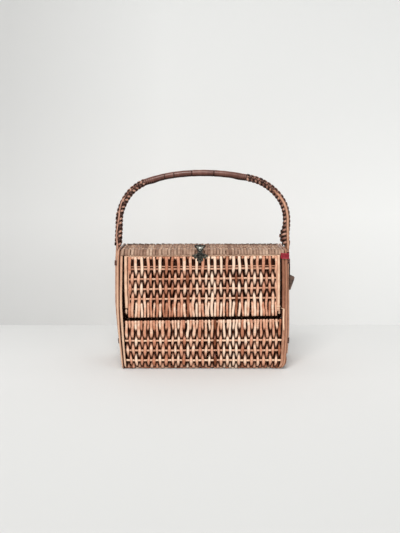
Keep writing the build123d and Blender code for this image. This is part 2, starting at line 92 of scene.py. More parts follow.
# %% The socket wrapper
class Wire:
    """An output socket that can be used in arithmetic. Each operator adds one Math node."""

    def __init__(self, finish, socket):
        self.finish = finish
        self.socket = socket

    def maths(self, operation, first, second):
        settings = {"operation": operation}
        return self.finish.node("ShaderNodeMath", settings, {0: first, 1: second})

    def __add__(self, other):
        return self.maths("ADD", self, other)

    __radd__ = __add__

    def __mul__(self, other):
        return self.maths("MULTIPLY", self, other)

    __rmul__ = __mul__

    def __sub__(self, other):
        return self.maths("SUBTRACT", self, other)

    def __rsub__(self, other):
        return self.maths("SUBTRACT", other, self)


class Finish:
    """A material under construction: its node tree and its Principled shader."""

    def __init__(self, name):
        self.material = bpy.data.materials.new(name)
        self.material.use_nodes = True
        self.tree = self.material.node_tree
        self.shader = self.tree.nodes["Principled BSDF"]

    def node(self, kind, settings=None, inputs=None, output=0):
        """Adds a node, sets its settings, then its sockets' values or links, and returns one output."""
        made = self.tree.nodes.new(kind)
        for key, value in (settings or {}).items():
            if key == "stops":
                ramp = made.color_ramp
                while len(ramp.elements) < len(value):
                    ramp.elements.new(0.5)
                for element, (place, colour) in zip(ramp.elements, value):
                    element.position = place
                    element.color = (*colour, 1)
            else:
                setattr(made, key, value)
        for key, value in (inputs or {}).items():
            self.feed(made.inputs[key], value)
        return Wire(self, made.outputs[output])

    def feed(self, socket, value):
        """Links a wire to a socket, or sets the socket's own value."""
        if isinstance(value, Wire):
            self.tree.links.new(value.socket, socket)
        elif isinstance(value, tuple) and len(value) == 3 and socket.type == "RGBA":
            socket.default_value = (*value, 1)
        else:
            socket.default_value = value

    def attribute(self, name):
        """A number that the mesh carries at each of its points."""
        return self.node("ShaderNodeAttribute", {"attribute_name": name}, output="Fac")

    def noise(self, vector, scale, detail=2.0):
        """Smooth noise between 0 and 1 along a vector."""
        inputs = {"Vector": vector, "Scale": scale, "Detail": detail}
        return self.node("ShaderNodeTexNoise", None, inputs, "Fac")

    def mixed(self, factor, first, second, blend="MIX"):
        """Two colours mixed by a factor."""
        settings = {"data_type": "RGBA", "blend_type": blend}
        return self.node("ShaderNodeMix", settings, {"Factor": factor, 6: first, 7: second}, 2)

    def bumped(self, height, strength, distance):
        """A normal that leans with a height."""
        inputs = {"Height": height, "Strength": strength, "Distance": distance}
        return self.node("ShaderNodeBump", None, inputs, "Normal")

    def clamped(self, value):
        """A value held between 0 and 1."""
        return self.node("ShaderNodeClamp", None, {"Value": value})

    def set(self, **sockets):
        """Feeds the Principled shader; underscores stand for spaces in the socket names."""
        for key, value in sockets.items():
            self.feed(self.shader.inputs[key.replace("_", " ")], value)


print("shader helpers ready")

# %% [markdown]
# ## Cane and reed
# Every strand on this bag is a plant fibre: each has its own colour and fine lengthwise streaks. It is
# painted darker where it dives under another strand, along its edges and on its inward side: painted shade,
# together with the dust and varnish settled there. The meshes below carry four numbers at each point, tone,
# recess, along and around, and one finish reads them.


# %% The finish of plant fibre
def cane_finish(name, stops, recess_colour, roughness, coat=0.3, streak=0.35, shade_and_dust=1.0):
    """Fibre coloured by a ramp over its tone, streaked along its length and dark in its recesses."""
    finish = Finish(name)
    tone = finish.attribute("tone")
    recess = finish.attribute("recess")
    along = finish.attribute("along")
    around = finish.attribute("around")
    # The noise runs slowly along a strand and fast round it, and each tone has its own part of it
    lengthwise = {0: around * 2.2, 1: along * 55.0, 2: tone * 97.0}
    streaks = finish.noise(finish.node("ShaderNodeCombineXYZ", None, lengthwise), 2.0, 3.0)
    blotches = {0: tone * 31.0, 1: along * 120.0, 2: around * 0.4}
    patch = finish.noise(finish.node("ShaderNodeCombineXYZ", None, blotches), 1.0, 1.0)
    shade = tone + (streaks - 0.5) * streak + (patch - 0.5) * 0.35
    colour = finish.node("ShaderNodeValToRGB", {"stops": stops}, {"Fac": shade}, "Color")
    # depth is painted shade, with the dust of the recesses, from the recess number, plus patchy grime from
    # the noise
    depth = finish.clamped(recess * shade_and_dust + (0.5 - patch) * 0.18)
    colour = finish.mixed(depth, colour, recess_colour)
    finish.set(Base_Color=colour, Roughness=roughness + streaks * 0.2)
    finish.set(Normal=finish.bumped(streaks, 0.35, 0.0003), Specular_IOR_Level=0.1)
    finish.set(Coat_Weight=(1.0 - depth) * coat, Coat_Roughness=0.22)
    return finish.material


reed_stops = [
    (0.0, (0.20, 0.058, 0.022)),
    (0.25, (0.45, 0.165, 0.085)),
    (0.5, (0.66, 0.295, 0.18)),
    (0.75, (0.82, 0.45, 0.295)),
    (1.0, (1.0, 0.73, 0.55)),
]
rod_stops = [
    (0.0, (0.12, 0.045, 0.026)),
    (0.4, (0.38, 0.165, 0.095)),
    (0.7, (0.66, 0.36, 0.235)),
    (1.0, (0.90, 0.62, 0.43)),
]
braid_stops = [
    (0.0, (0.05, 0.018, 0.013)),
    (0.5, (0.24, 0.10, 0.07)),
    (1.0, (0.66, 0.36, 0.26)),
]
grip_stops = [
    (0.0, (0.06, 0.02, 0.013)),
    (0.5, (0.135, 0.05, 0.035)),
    (1.0, (0.29, 0.135, 0.10)),
]
# The top's reeds are painted greyer and duller, a painted sheen of the light that glances over the top
top_sheen_stops = [
    (0.0, (0.16, 0.08, 0.05)),
    (0.35, (0.31, 0.18, 0.125)),
    (0.65, (0.46, 0.30, 0.215)),
    (1.0, (0.66, 0.47, 0.35)),
]
thread_stops = [
    (0.0, (0.16, 0.010, 0.016)),
    (0.6, (0.42, 0.03, 0.05)),
    (1.0, (0.70, 0.16, 0.20)),
]
# The third colour of each finish is that of its painted shade and the dust in its recesses
reed_finish = cane_finish("split reed", reed_stops, (0.034, 0.006, 0.001), 0.34)
top_sheen_finish = cane_finish("top reed with painted sheen", top_sheen_stops, (0.04, 0.017, 0.009), 0.55, 0.1)
rod_finish = cane_finish("cane rod", rod_stops, (0.035, 0.011, 0.006), 0.30, 0.4)
braid_finish = cane_finish("plaited cane", braid_stops, (0.010, 0.004, 0.003), 0.30, 0.5, shade_and_dust=1.3)
grip_finish = cane_finish("varnished grip", grip_stops, (0.014, 0.006, 0.004), 0.22, 0.5, shade_and_dust=1.25)
thread_finish = cane_finish("red thread", thread_stops, (0.05, 0.004, 0.006), 0.6)
fibres = (reed_finish, top_sheen_finish, rod_finish, braid_finish, grip_finish, thread_finish)
print("fibre finishes:", [fibre.name for fibre in fibres])

# %% [markdown]
# ## Strands
# A reed, a rod and a plaited cane are all one thing: a section carried along a path. All the strands of a
# piece are worked out together, as one array of centre points with the directions across and out of each.
# Bevelled curves could give the same shapes, but a mesh carries the finish's four numbers at every point.


# %% Points, directions and pieces
to_right = (1.0, 0.0, 0.0)
to_front = (0.0, -1.0, 0.0)
to_back = (0.0, 1.0, 0.0)
upwards = (0.0, 0.0, 1.0)


def points_at(x, y, z):
    """Points from three coordinates, whose shapes are broadcast together."""
    return np.stack(np.broadcast_arrays(x, y, z), -1)


def everywhere(direction, points):
    """One direction, repeated for every point."""
    return np.broadcast_to(np.array(direction, float), points.shape)


def new_piece(name, points, faces, smooth=True):
    """An object at the origin with the given points and faces."""
    mesh = bpy.data.meshes.new(name)
    mesh.from_pydata(points, [], faces)
    mesh.polygons.foreach_set("use_smooth", np.full(len(mesh.polygons), smooth))
    piece = bpy.data.objects.new(name, mesh)
    bpy.context.scene.collection.objects.link(piece)
    print(f"{name}: {len(mesh.polygons)} faces")
    return piece


# %% Strands as one array
def strands(
    name, centre, across, out, half_width, half_depth, tone, recess,
    sides=8, closed=False, square=1.0, rim=0.0,
):
    """A mesh of strands. Each point is centre + across * a * cos(t) + out * b * sin(t), t round the section.

    centre, across and out have the shape (strands, steps, 3); half_width a and half_depth b, tone and recess
    are broadcast to (strands, steps). square under 1 fills the section's corners. The inward half of the
    section gets more recess, a painted shade, and its edges get rim more, a painted shade along the edges.
    closed joins each strand's end to its start.
    """
    count, steps = centre.shape[:2]
    turn = np.arange(sides) * 2 * np.pi / sides + np.pi / sides
    cosine = np.sign(np.cos(turn)) * np.abs(np.cos(turn)) ** square
    sine = np.sign(np.sin(turn)) * np.abs(np.sin(turn)) ** square
    a = np.broadcast_to(half_width, (count, steps))[..., None, None]
    b = np.broadcast_to(half_depth, (count, steps))[..., None, None]
    points = centre[:, :, None] + across[:, :, None] * a * cosine[:, None]
    points = points + out[:, :, None] * b * sine[:, None]

    ends = np.arange(steps if closed else steps - 1)
    strand, step, side = np.meshgrid(np.arange(count), ends, np.arange(sides), indexing="ij")
    following = (step + 1) % steps
    around = (side + 1) % sides
    corners = [(step, side), (step, around), (following, around), (following, side)]
    faces = np.stack([(strand * steps + i) * sides + j for i, j in corners], -1).reshape(-1, 4)
    forward = np.gradient(centre, axis=1)
    handed = np.sum(np.cross(across, out) * forward)
    if handed < 0:
        faces = faces[:, ::-1]
    faces = faces.tolist()
    if not closed:
        starts = np.arange(count) * steps * sides
        for first, reverse in ((starts, handed > 0), (starts + (steps - 1) * sides, handed < 0)):
            rings = first[:, None] + np.arange(sides)
            faces += (rings[:, ::-1] if reverse else rings).tolist()

    piece = new_piece(name, points.reshape(-1, 3), faces)
    length = np.cumsum(np.linalg.norm(np.diff(centre, axis=1, prepend=centre[:, :1]), axis=2), axis=1)
    shape = (count, steps, sides)
    # Painted shade: the inward half of each section and its edges are darker
    inward = np.clip(-np.sin(turn), 0, 1)[None, None]
    edge = np.abs(np.cos(turn)) ** 2
    path_recess = np.broadcast_to(recess, (count, steps))[..., None]
    carried = {
        "tone": np.broadcast_to(np.broadcast_to(tone, (count, steps))[..., None], shape),
        "recess": np.clip(path_recess + edge[None, None] * rim + 0.8 * inward * np.ones(shape), 0, 1),
        "along": np.broadcast_to((length + np.arange(count)[:, None] * 0.37)[..., None], shape),
        "around": np.broadcast_to(np.abs(turn - np.pi)[None, None], shape),
    }
    for key, values in carried.items():
        layer = piece.data.attributes.new(key, "FLOAT", "POINT").data
        layer.foreach_set("value", values.astype(np.float32).ravel())
    return piece


# %% Placing a piece, and values that run smoothly
def place(piece, finish, slot, body, *nodes):
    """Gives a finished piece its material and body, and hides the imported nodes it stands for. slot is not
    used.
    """
    piece.data.materials.append(finish)
    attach(piece, body)
    if nodes:
        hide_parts(*nodes)
    return piece


def repaint(node, finish):
    """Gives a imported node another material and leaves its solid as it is."""
    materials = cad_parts[node].data.materials
    materials.clear()
    materials.append(finish)


def eased(at, places, values):
    """Runs through the values at the places, with half a cosine from each to the next."""
    i = np.clip(np.searchsorted(places, at) - 1, 0, len(places) - 2)
    share = np.clip((at - places[i]) / (places[i + 1] - places[i]), 0, 1)
    return values[i] + (values[i + 1] - values[i]) * (1 - np.cos(np.pi * share)) / 2


def wander(count, along, size, length):
    """Slow sideways drift of each strand: two sines of random phase, size times at most about 1.4."""
    phase = draw.uniform(0, 2 * np.pi, (2, count, 1))
    pace = draw.uniform(0.7, 1.3, (2, count, 1)) * 2 * np.pi / length
    return size * (np.sin(along * pace[0] + phase[0]) + 0.4 * np.sin(2.3 * along * pace[1] + phase[1]))


print("helpers for strands ready")

# %% [markdown]
# ## How the old basket has settled
# The real bag isn't quite square: the end frames lean in at the foot, more suddenly on the right, and the
# flap and its gap rise a little to the right. A Lattice modifier could bend it too. Here both are small
# shifts of finished points, because a formula says how large they are and bends every piece alike.


# %% The settling of the frame
# A lean's size, the height below which it starts, and its power
left_lean = (4.8 * MM, 0.095, 1.4)
right_lean = (1.4 * MM, 0.045, 1.3)
right_foot = (5.5 * MM, 0.012, 2)
# A splay's size, the height at which it is full, and the share that is lost above the body
left_splay = (3.0 * MM, 0.09, 0.75)
right_splay = (1.8 * MM, 0.05, 0.4)


def leaning(z, size, below, power):
    """size * (1 - z / below) ^ power, and none above that height."""
    return size * np.clip(1 - z / below, 0, 1) ** power


def splaying(z, size, full_at, lost):
    """size * z / full_at and at most size, with a share of it lost between 150 and 200 mm."""
    above = np.clip((z - 0.15) / 0.05, 0, 1)
    return size * np.clip(z / full_at, 0, 1) * (1 - lost * above)


def settled(points, lean=True):
    """Shifts points as the basket has settled.

    The rise is slope(z) * x, with the slope 1.3% at the flap's gap and 0.8% at its top edge, and none below
    20 mm or above 172 mm. The lean moves the ends inwards near the floor, and the splay outwards above it.
    Both fade towards the middle by the fifth power of x.
    """
    x, y, z = points[..., 0], points[..., 1], points[..., 2]
    slope = np.interp(z, [0.02, 0.073, 0.164, 0.172], [0.0, 0.013, 0.008, 0.0])
    moved = points_at(x, y, z + slope * np.clip(x, -wall_end, wall_end))
    if lean:
        left = leaning(z, *left_lean) - splaying(z, *left_splay)
        right = leaning(z, *right_lean) + leaning(z, *right_foot) - splaying(z, *right_splay)
        reach = np.minimum(np.abs(x) / body_half_width, 1.03) ** 5
        moved[..., 0] += np.where(x < 0, left, -right) * reach
    return moved


def settle(piece, lean=True):
    """Applies the settling to a piece's mesh."""
    flat = np.zeros(len(piece.data.vertices) * 3, np.float32)
    piece.data.vertices.foreach_get("co", flat)
    piece.data.vertices.foreach_set("co", settled(flat.reshape(-1, 3), lean).astype(np.float32).ravel())
    return piece


print("gap rises by", settled(np.array([[wall_end, 0, 0.073]]))[0, 2] - 0.073)

# %% [markdown]
# ## The outline that the reeds follow
# Front, base, back and top are one rounded outline, seen from the end. The reeds of all four walls follow
# it, so a reed that leaves one wall goes on in the next, as it does on the real bag.

# %% The body's outline
corner_points = 19
corner_turns = (
    (-1, bottom_radius, 180, 270),
    (1, bottom_radius, 270, 360),
    (1, top_radius, 0, 90),
    (-1, top_radius, 90, 180),
)


def body_outline(inset):
    """Points, outward directions and lengths along the rounded outline in Y and Z, inset from its outside.

    It starts at the top of the front panel, and its length is 0 where the first corner starts.
    """
    points = [[[-body_half_depth + inset, front_high[2]]]]
    normals = [[[-1.0, 0.0]]]
    for side, radius, start, end in corner_turns:
        turn = np.radians(np.linspace(start, end, corner_points))
        direction = np.stack([np.cos(turn), np.sin(turn)], -1)
        z = radius if radius == bottom_radius else body_height - radius
        points.append(np.array([side * (body_half_depth - radius), z]) + direction * (radius - inset))
        normals.append(direction)
    points = np.concatenate(points)
    lengths = np.concatenate([[0], np.cumsum(np.linalg.norm(np.diff(points, axis=0), axis=1))])
    return points, np.concatenate(normals), lengths - lengths[1]


middle_points, middle_normals, middle_lengths = body_outline(wall_middle)


def on_outline(x, along, height):
    """Points and outward directions at places x, lengths along the outline and heights above it."""
    y, z = (np.interp(along, middle_lengths, middle_points[:, i]) for i in (0, 1))
    ny, nz = (np.interp(along, middle_lengths, middle_normals[:, i]) for i in (0, 1))
    points = points_at(x, y + ny * height, z + nz * height)
    normals = points_at(0 * x, ny, nz)
    return points, normals / np.linalg.norm(normals, axis=-1, keepdims=True)


def on_flap(x, z, height):
    """The same for the flap, a flat wall whose length is its height Z."""
    points = points_at(x, -body_half_depth + wall_middle - height, z)
    return points, everywhere(to_front, points)


outline_end = middle_lengths[-1] - 1.2 * MM
print("outline runs from", middle_lengths[0], "to", middle_lengths[-1])

# %% [markdown]
# ## Woven walls
# A reed goes over one rod and under the next, and its neighbours do the opposite. Its height above the
# wall's middle is therefore a wave, drawn here through stations: for each place along the reed, how far out
# the even reeds stand and how far out the odd ones, as shares of the full rise. Bands where all reeds come
# to the outside, and rows left open, are only other values at some stations.


# %% Weaving a wall
def weave(
    name, surface, places, low, high, stations, rise=weave_rise, depth=reed_depth, sideways=to_right,
    widths=(1.75, 2.35), mean_tone=0.6, spread=0.26, lean=None, shadow=None, loose=1.0,
):
    """The reeds of one wall, eased from station to station.

    A reed's share there gives height = rise * share and half width = narrow + (wide - narrow) * share^2,
    and where share is under 0 the reed is narrow.

    low and high may be columns with a value for each reed, where the wall's edge is curved. lean is a
    middle, a reach and a size: between middle - reach and middle + reach the reeds wander sideways more.
    shadow is a place along the reeds, how much darker they are there and the reach of that darkness. loose
    multiplies how crooked the reeds are.
    """
    narrow, wide = widths
    step = 1.5 * MM
    count = len(places)
    shares = np.linspace(0, 1, int(np.max(np.abs(high - low)) / step) + 2)
    along = (low + (high - low) * shares) * np.ones((count, 1))
    where, even, odd = (np.array(column) for column in zip(*sorted(stations)))
    parity = np.arange(count) % 2
    slid = along + loose * (draw.normal(0, 0.5 * MM, (count, 1)) + wander(count, along, 0.35 * MM, 0.03))
    share = np.where(parity[:, None] == 0, eased(slid, where, even), eased(slid, where, odd))
    x = loose * (wander(count, along, 0.3 * MM, 0.05) + draw.normal(0, 0.16 * MM, (count, 1)))
    x = places[:, None] + x
    height = rise * share + wander(count, along, 0.10 * MM, 0.03)
    if lean:
        middle, reach, size = lean
        inside = np.clip(1 - ((along - middle) / reach) ** 2, 0, 1)
        x = x + inside * draw.normal(0, size, (count, 1))
        x = x + (along - middle) * inside * draw.normal(0, 0.05, (count, 1))
        height = height + inside * draw.normal(0, 0.25 * MM, (count, 1))
    centre, out = surface(x, along, height)
    across = everywhere(sideways, centre)
    size = draw.uniform(0.84, 1.13, (count, 1))
    half = (narrow + (wide - narrow) * np.clip(share, 0, 1) ** 2) * size * MM
    # Reeds are lighter where they rise over a rod, and drift slowly in tone
    worn = 0.12 * np.clip(share, 0, 1) + wander(count, along, 0.08, 0.02)
    tone = np.clip(draw.normal(mean_tone, spread, (count, 1)) + worn, 0, 1)
    # Painted shade: a reed is darker where it passes under a rod and its neighbours, and rim paints its edges
    # darker
    recess = np.clip((0.35 - share) / 1.1, 0, 1)
    if lean:
        half = half * (1 - 0.2 * inside)
    if shadow:
        middle, size, reach = shadow
        # The shadow is full from 84 mm beside x = -10 mm, and down to 0.3 within 35 mm of it
        outer = np.clip(np.abs(places[:, None] + 0.01) / 0.07 - 0.2, 0.3, 1)
        recess = recess + size * outer * np.exp(-(((along - middle) / reach) ** 2))
    return strands(name, centre, across, out, half, depth, tone, recess, square=0.8, rim=0.6)


def lay_rods(name, surface, lengths, low_x, high_x, radius=rod_radius, tone=0.74, sideways=to_right):
    """Rods that run sideways at the given lengths along a wall, slightly wavy."""
    count = len(lengths)
    x = np.linspace(low_x, high_x, 90)[None, :] * np.ones((count, 1))
    along = lengths[:, None] + wander(count, x, 0.18 * MM, 0.09)
    centre, out = surface(x, along, wander(count, x, 0.08 * MM, 0.03))
    across = np.cross(out, np.array(sideways))
    shade = np.clip(draw.normal(tone, 0.08, (count, 1)) + wander(count, x, 0.12, 0.04), 0, 1)
    return strands(name, centre, across, out, radius, radius, shade, 0.0)


def wall_stations(rods):
    """Stations of plain weave over rods: even reeds over the first, under the next, and so on."""
    return [(s, (-1) ** k, -((-1) ** k)) for k, s in enumerate(rods)]


body_reeds = np.arange(-25, 26) * reed_pitch
wall_reeds = np.arange(-26, 27) * reed_pitch
flap_reeds = np.arange(-24, 25) * reed_pitch
rod_run = bottom_radius - front_rod_z + rod_pitch * np.arange(28)
rod_run = rod_run[rod_run < outline_end - 12.0 * MM]
run_stations = [(s, -even, -odd) for s, even, odd in wall_stations(rod_run)]
print(len(rod_run), "rods round the body")

# %% [markdown]
# ## The lower front
# The lower front is a row of 51 reeds. Its upper border is packed: all the reeds come to the outside there.
# Below it the even reeds stay outside and the odd ones pass inside, which leaves a row of slits. The border
# could be a piece of its own, but on the real bag it is made of the same reeds, so here it is only a few
# other stations near the top of each reed's wave.

# %% The lower front
front_start = bottom_radius - front_high[2]
front_stations = [
    (front_start, 0.75, 0.75),
    (front_start + 3.5 * MM, 1.0, 1.0),
    (front_start + 10.5 * MM, 1.0, 0.95),
    (front_start + 16.5 * MM, 0.95, -0.8),
    (front_start + 21.0 * MM, 0.9, -0.5),
]
front_stations += run_stations
front_end = 6.0 * MM
band_lean = (front_start + 6.0 * MM, 12.0 * MM, 0.35 * MM)
front_loose = 1.5
front_reeds = weave(
    "front_panel_reeds", on_outline, body_reeds, front_start, front_end, front_stations,
    lean=band_lean, loose=front_loose,
)
place(settle(front_reeds), reed_finish, "reed_weave", "basket", "front_panel")
front_run = rod_run[rod_run < front_end]
front_rods = lay_rods("front_panel_rods", on_outline, front_run, -wall_end, wall_end)
place(settle(front_rods), rod_finish, "cane_rod", "basket")

# %% [markdown]
# ## The base, the back and the top
# These walls go on from the front without a joint. Each could be a flat panel with a picture of a weave on
# it, but real reeds give a jagged edge at every rounded corner, and light falls between them. One function
# weaves all three. The table holds where each wall ends along the outline, how wide its reeds are, and their
# finish and tone: the top's reeds are painted greyer and darker, a painted sheen of the light that glances
# over the top, and a painted shadow darkens them along the back edge.

# %% The base, the back and the top
base_end = middle_lengths[2 * corner_points - 1]
back_foot, back_head = middle_lengths[2 * corner_points : 2 * corner_points + 2]
back_end = back_foot + (back_head - back_foot) * 0.999
top_stations = [s for s in run_stations if s[0] < outline_end - 20.0 * MM]
top_stations += [
    (outline_end - 12.0 * MM, 0.9, 0.9),
    (outline_end - 4.0 * MM, 1.0, 1.0),
    (outline_end, 0.7, 0.7),
]
# A painted shadow darkens the top's reeds along its back edge
back_shadow = (back_end + 13 * MM, 1.6, 12 * MM)
for name, low, high, stations, widths, finish, tone, spread, shadow in (
    ("base_panel", front_end, base_end, run_stations, (2.7, 2.8), reed_finish, 0.6, 0.26, None),
    ("back_panel", base_end, back_end, run_stations, (3.25, 3.35), reed_finish, 0.6, 0.26, None),
    ("top_panel", back_end, outline_end, top_stations, (2.3, 2.35), top_sheen_finish, 0.36, 0.13, back_shadow),
):
    reeds = weave(
        f"{name}_reeds", on_outline, wall_reeds, low, high, stations, widths=widths, mean_tone=tone,
        spread=spread, shadow=shadow,
    )
    place(settle(reeds), finish, "reed_weave", "basket", name)
    wall_run = rod_run[(rod_run > low) & (rod_run < high)]
    rods = lay_rods(f"{name}_rods", on_outline, wall_run, -wall_end, wall_end)
    place(settle(rods), rod_finish, "cane_rod", "basket")

# A flat reed under the hoops closes each back corner
corner_run = np.linspace(base_end, back_end, 70)[None] * np.ones((2, 1))
corner_x = np.array([[-117.5], [117.5]]) * MM
centre, out = on_outline(corner_x, corner_run, 0.0 * corner_run)
corner_reeds = strands(
    "back_corner_reeds", centre, everywhere(to_right, centre), out, 2.2 * MM, 0.5 * MM, 0.4, 0.3, square=0.8
)
place(settle(corner_reeds), reed_finish, "reed_weave", "basket")

# %% [markdown]
# ## The flap
# The flap is the upper part of the front, and it turns down on its bottom rod. It is flat, so its reeds
# follow a plane and not the outline. They could be the upper ends of the front's reeds, cut at the gap, but
# a piece that moves needs meshes of its own, and each of them rides the flap's body.

# %% The flap
flap_top = flap_high[2] + 0.5 * MM
flap_stations = [
    (flap_low[2] + 0.3 * MM, 0.6, 0.6),
    (flap_low[2] + 4.0 * MM, 1.0, 1.0),
    (flap_rod_z[3] - 7.5 * MM, 0.95, 1.0),
    (flap_rod_z[3] - 4.2 * MM, -0.9, 1.0),
    (flap_rod_z[3], -1.0, 1.0),
    (flap_rod_z[2], 1.0, -1.0),
    (flap_rod_z[1], -1.0, 1.0),
    (flap_rod_z[0], 0.95, -1.0),
    (flap_rod_z[0] + 8.0 * MM, 0.9, -1.0),
    (flap_top - 5.2 * MM, 1.0, -1.0),
    (flap_top - 2.4 * MM, 1.0, 1.0),
    (flap_top - 0.8 * MM, 1.0, 1.0),
    (flap_top, 0.6, 0.6),
]
band_lean = (flap_low[2] + 9.0 * MM, 17.0 * MM, 0.4 * MM)
flap_weave = weave(
    "flap_reeds", on_flap, flap_reeds, flap_low[2] + 0.3 * MM, flap_top, flap_stations,
    lean=band_lean, loose=front_loose,
)
place(settle(flap_weave, False), reed_finish, "reed_weave", "flap", "flap_panel")
flap_rods = lay_rods("flap_rods", on_flap, flap_rod_z, flap_low[0], flap_high[0])
place(settle(flap_rods, False), rod_finish, "cane_rod", "flap")
thin_rod_z = flap_rod_z[:1] + 3.6 * MM
thin_rod = lay_rods("flap_thin_rod", on_flap, thin_rod_z, flap_low[0], flap_high[0], 1.0 * MM, 0.35)
place(settle(thin_rod, False), rod_finish, "cane_rod", "flap")
print("flap from", flap_low[2], "to", flap_top)

# %% [markdown]
# ## The woven ends
# Each end is closed by a flat woven wall inside its hoops. It could be woven as a rectangle and cut to the
# rounded outline with a Boolean modifier, but that would leave cut faces in sight. Instead each reed gets
# its own lower and upper end from the corner's circle, so it stops behind the hoop as a real one does.

# %% The woven ends
end_low, end_high = span("right_end_panel")
end_middle = end_low[0] + 1.2 * MM
end_reach = end_high[1] - 0.9 * MM
end_reeds = np.arange(-11, 12) * reed_pitch
end_rod_radius = 0.9 * MM
end_depth = 0.5 * MM
end_rise = end_rod_radius + end_depth
end_rods = 12.7 * MM + rod_pitch * np.arange(11)


def corner_drop(y, radius, rod=3.8 * MM):
    """How far a rounded corner's inside lies from its edge at y: r - sqrt((r - rod)^2 - over^2)."""
    over = np.clip(np.abs(y) - (body_half_depth - radius), 0, radius - rod)
    return radius - np.sqrt((radius - rod) ** 2 - over ** 2 + 1e-12)


for side, sign in (("left", -1.0), ("right", 1.0)):

    def on_end(y, along, height, sign=sign):
        """Points and outward directions on an end wall, at places y and heights along."""
        points = points_at(sign * (end_middle + height), y, along)
        return points, everywhere((sign, 0.0, 0.0), points)

    low = corner_drop(end_reeds, bottom_radius)[:, None]
    high = body_height - corner_drop(end_reeds, top_radius)[:, None]
    reeds = weave(
        f"{side}_end_reeds", on_end, end_reeds, low, high, wall_stations(end_rods), end_rise, end_depth,
        to_back, (2.9, 3.0),
    )
    place(settle(reeds), reed_finish, "reed_weave", "basket", f"{side}_end_panel")
    rods = lay_rods(
        f"{side}_end_rods", on_end, end_rods, -end_reach, end_reach, end_rod_radius, 0.7, to_back
    )
    place(settle(rods), rod_finish, "cane_rod", "basket")

# %% [markdown]
# ## The frames
# Each end is framed by two hoops of round cane, bent to the same rounded outline. They are the first thing
# the eye follows down the sides of the bag, so they get their own colours. Their tones also carry painted
# light: the left hoops are paler, a painted highlight, the right ones darker brown, a painted shade, and each
# outer hoop is painted pale on its left side and dark on its right.

# %% The hoops
def closed_outline(inset, step=2.5 * MM):
    """Evenly spaced points and outward directions round the whole outline in Y and Z, inset from it."""
    points, normals, _ = body_outline(inset)
    points = np.concatenate([points[1:], points[1:2]])
    normals = np.concatenate([normals[1:], normals[1:2]])
    lengths = np.concatenate([[0], np.cumsum(np.linalg.norm(np.diff(points, axis=0), axis=1))])
    along = np.arange(0, lengths[-1] - step / 2, step)
    even = [np.interp(along, lengths, column) for column in (*points.T, *normals.T)]
    return np.stack(even[:2], -1), np.stack(even[2:], -1)


def shade_sides(piece, sides, light, dark, start):
    """Makes a rod paler towards -X and darker towards +X.

    With u from -1 to 1 across the rod, tone changes by -light * u, a painted highlight on the -X side,
    and recess by dark * (u - start) where u is over start, a painted shade on the +X side.
    """
    turn = np.arange(sides) * 2 * np.pi / sides + np.pi / sides
    changes = {"tone": -light * np.cos(turn), "recess": dark * np.clip(np.cos(turn) - start, 0, 1)}
    for key, change in changes.items():
        layer = piece.data.attributes[key].data
        values = np.zeros(len(layer), np.float32)
        layer.foreach_get("value", values)
        values = np.clip(values.reshape(-1, sides) + change, 0, 1)
        layer.foreach_set("value", values.astype(np.float32).ravel())


def hoop(name, inset_by, tones, thin=1.0, shift=0.0, shading=(0.0, 0.0, 0.0)):
    """A round rod bent to the outline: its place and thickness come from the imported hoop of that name.

    tones are those at the floor, at 80 and 100 mm and at the top. thin is a share of the thickness and shift
    moves the rod along X. shading goes to shade_sides.
    """
    low, high = span(name)
    radius = (high[0] - low[0]) / 2
    points, normals = closed_outline(inset_by + radius)
    steps = len(points)
    turn = np.arange(steps)[None] * 2 * np.pi / steps
    drift = 0.25 * MM * np.sin(3 * turn + draw.uniform(0, 6))
    drift = drift + 0.15 * MM * np.sin(7 * turn + draw.uniform(0, 6))
    x = (low[0] + high[0]) / 2 + drift + shift
    centre = points_at(x, points[None, :, 0], points[None, :, 1])
    out = points_at(0 * x, normals[None, :, 0], normals[None, :, 1])
    across = everywhere(to_right, centre)
    tone = np.interp(points[None, :, 1], [0.0, 0.08, 0.1, body_height], tones)
    size = thin * radius * (1 + 0.05 * np.sin(5 * turn + draw.uniform(0, 6)))
    sides = 12
    piece = strands(f"{name}_cane", centre, across, out, size, size, tone, 0.1, sides, closed=True)
    shade_sides(piece, sides, *shading)
    return place(settle(piece), rod_finish, "cane_rod", "basket", name)


hoop_inset = body_height - span("right_inner_hoop")[1][2]
# Painted light: the left hoops get pale tones where the lamp's light falls, the right ones dark tones in
# shade
hoop("left_outer_hoop", 0.0, [0.72, 0.78, 0.74, 0.5], 1.0, 0.0, (0.4, 1.7, 0.15))
hoop("left_inner_hoop", hoop_inset, [0.92, 0.9, 0.85, 0.7], 0.8, -0.7 * MM)
hoop("right_inner_hoop", hoop_inset, [0.6, 0.52, 0.3, 0.28])
hoop("right_outer_hoop", 0.0, [0.5, 0.5, 0.42, 0.38], 0.92, -0.4 * MM, (0.15, 1.0, 0.35))

# %% [markdown]
# ## The straight rods
# A rod lies inside each border, and a light rod runs down each side of the flap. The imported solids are
# straight cylinders. A cylinder would do from far away, but cane is never quite straight, so each rod is a
# strand whose middle sways a little, and the stiles bend in at the foot. The hinge rod has to turn in its
# loops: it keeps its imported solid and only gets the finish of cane.

# %% Rods inside the borders
def along_x(name, node, tone, body):
    """A round rod along X in place of a packed one: the middle and the size of its box give its line."""
    low, high = span(node)
    radius = (high[2] - low[2]) / 2
    x = np.linspace(low[0], high[0], 80)[None]
    middle = (low + high) / 2
    sway = wander(1, x, 0.12 * MM, 0.08)
    centre = points_at(x, middle[1], middle[2] + sway)
    across = everywhere(upwards, centre)
    piece = strands(name, centre, across, everywhere(to_front, centre), radius, radius, tone, 0.05, 12)
    return place(settle(piece, False), rod_finish, "cane_rod", body, node)


along_x("front_rail_cane", "front_rail", 0.7, "basket")
along_x("top_front_rail_cane", "top_front_rail", 0.5, "basket")
along_x("flap_top_cane", "flap_top_rod", 0.9, "flap")

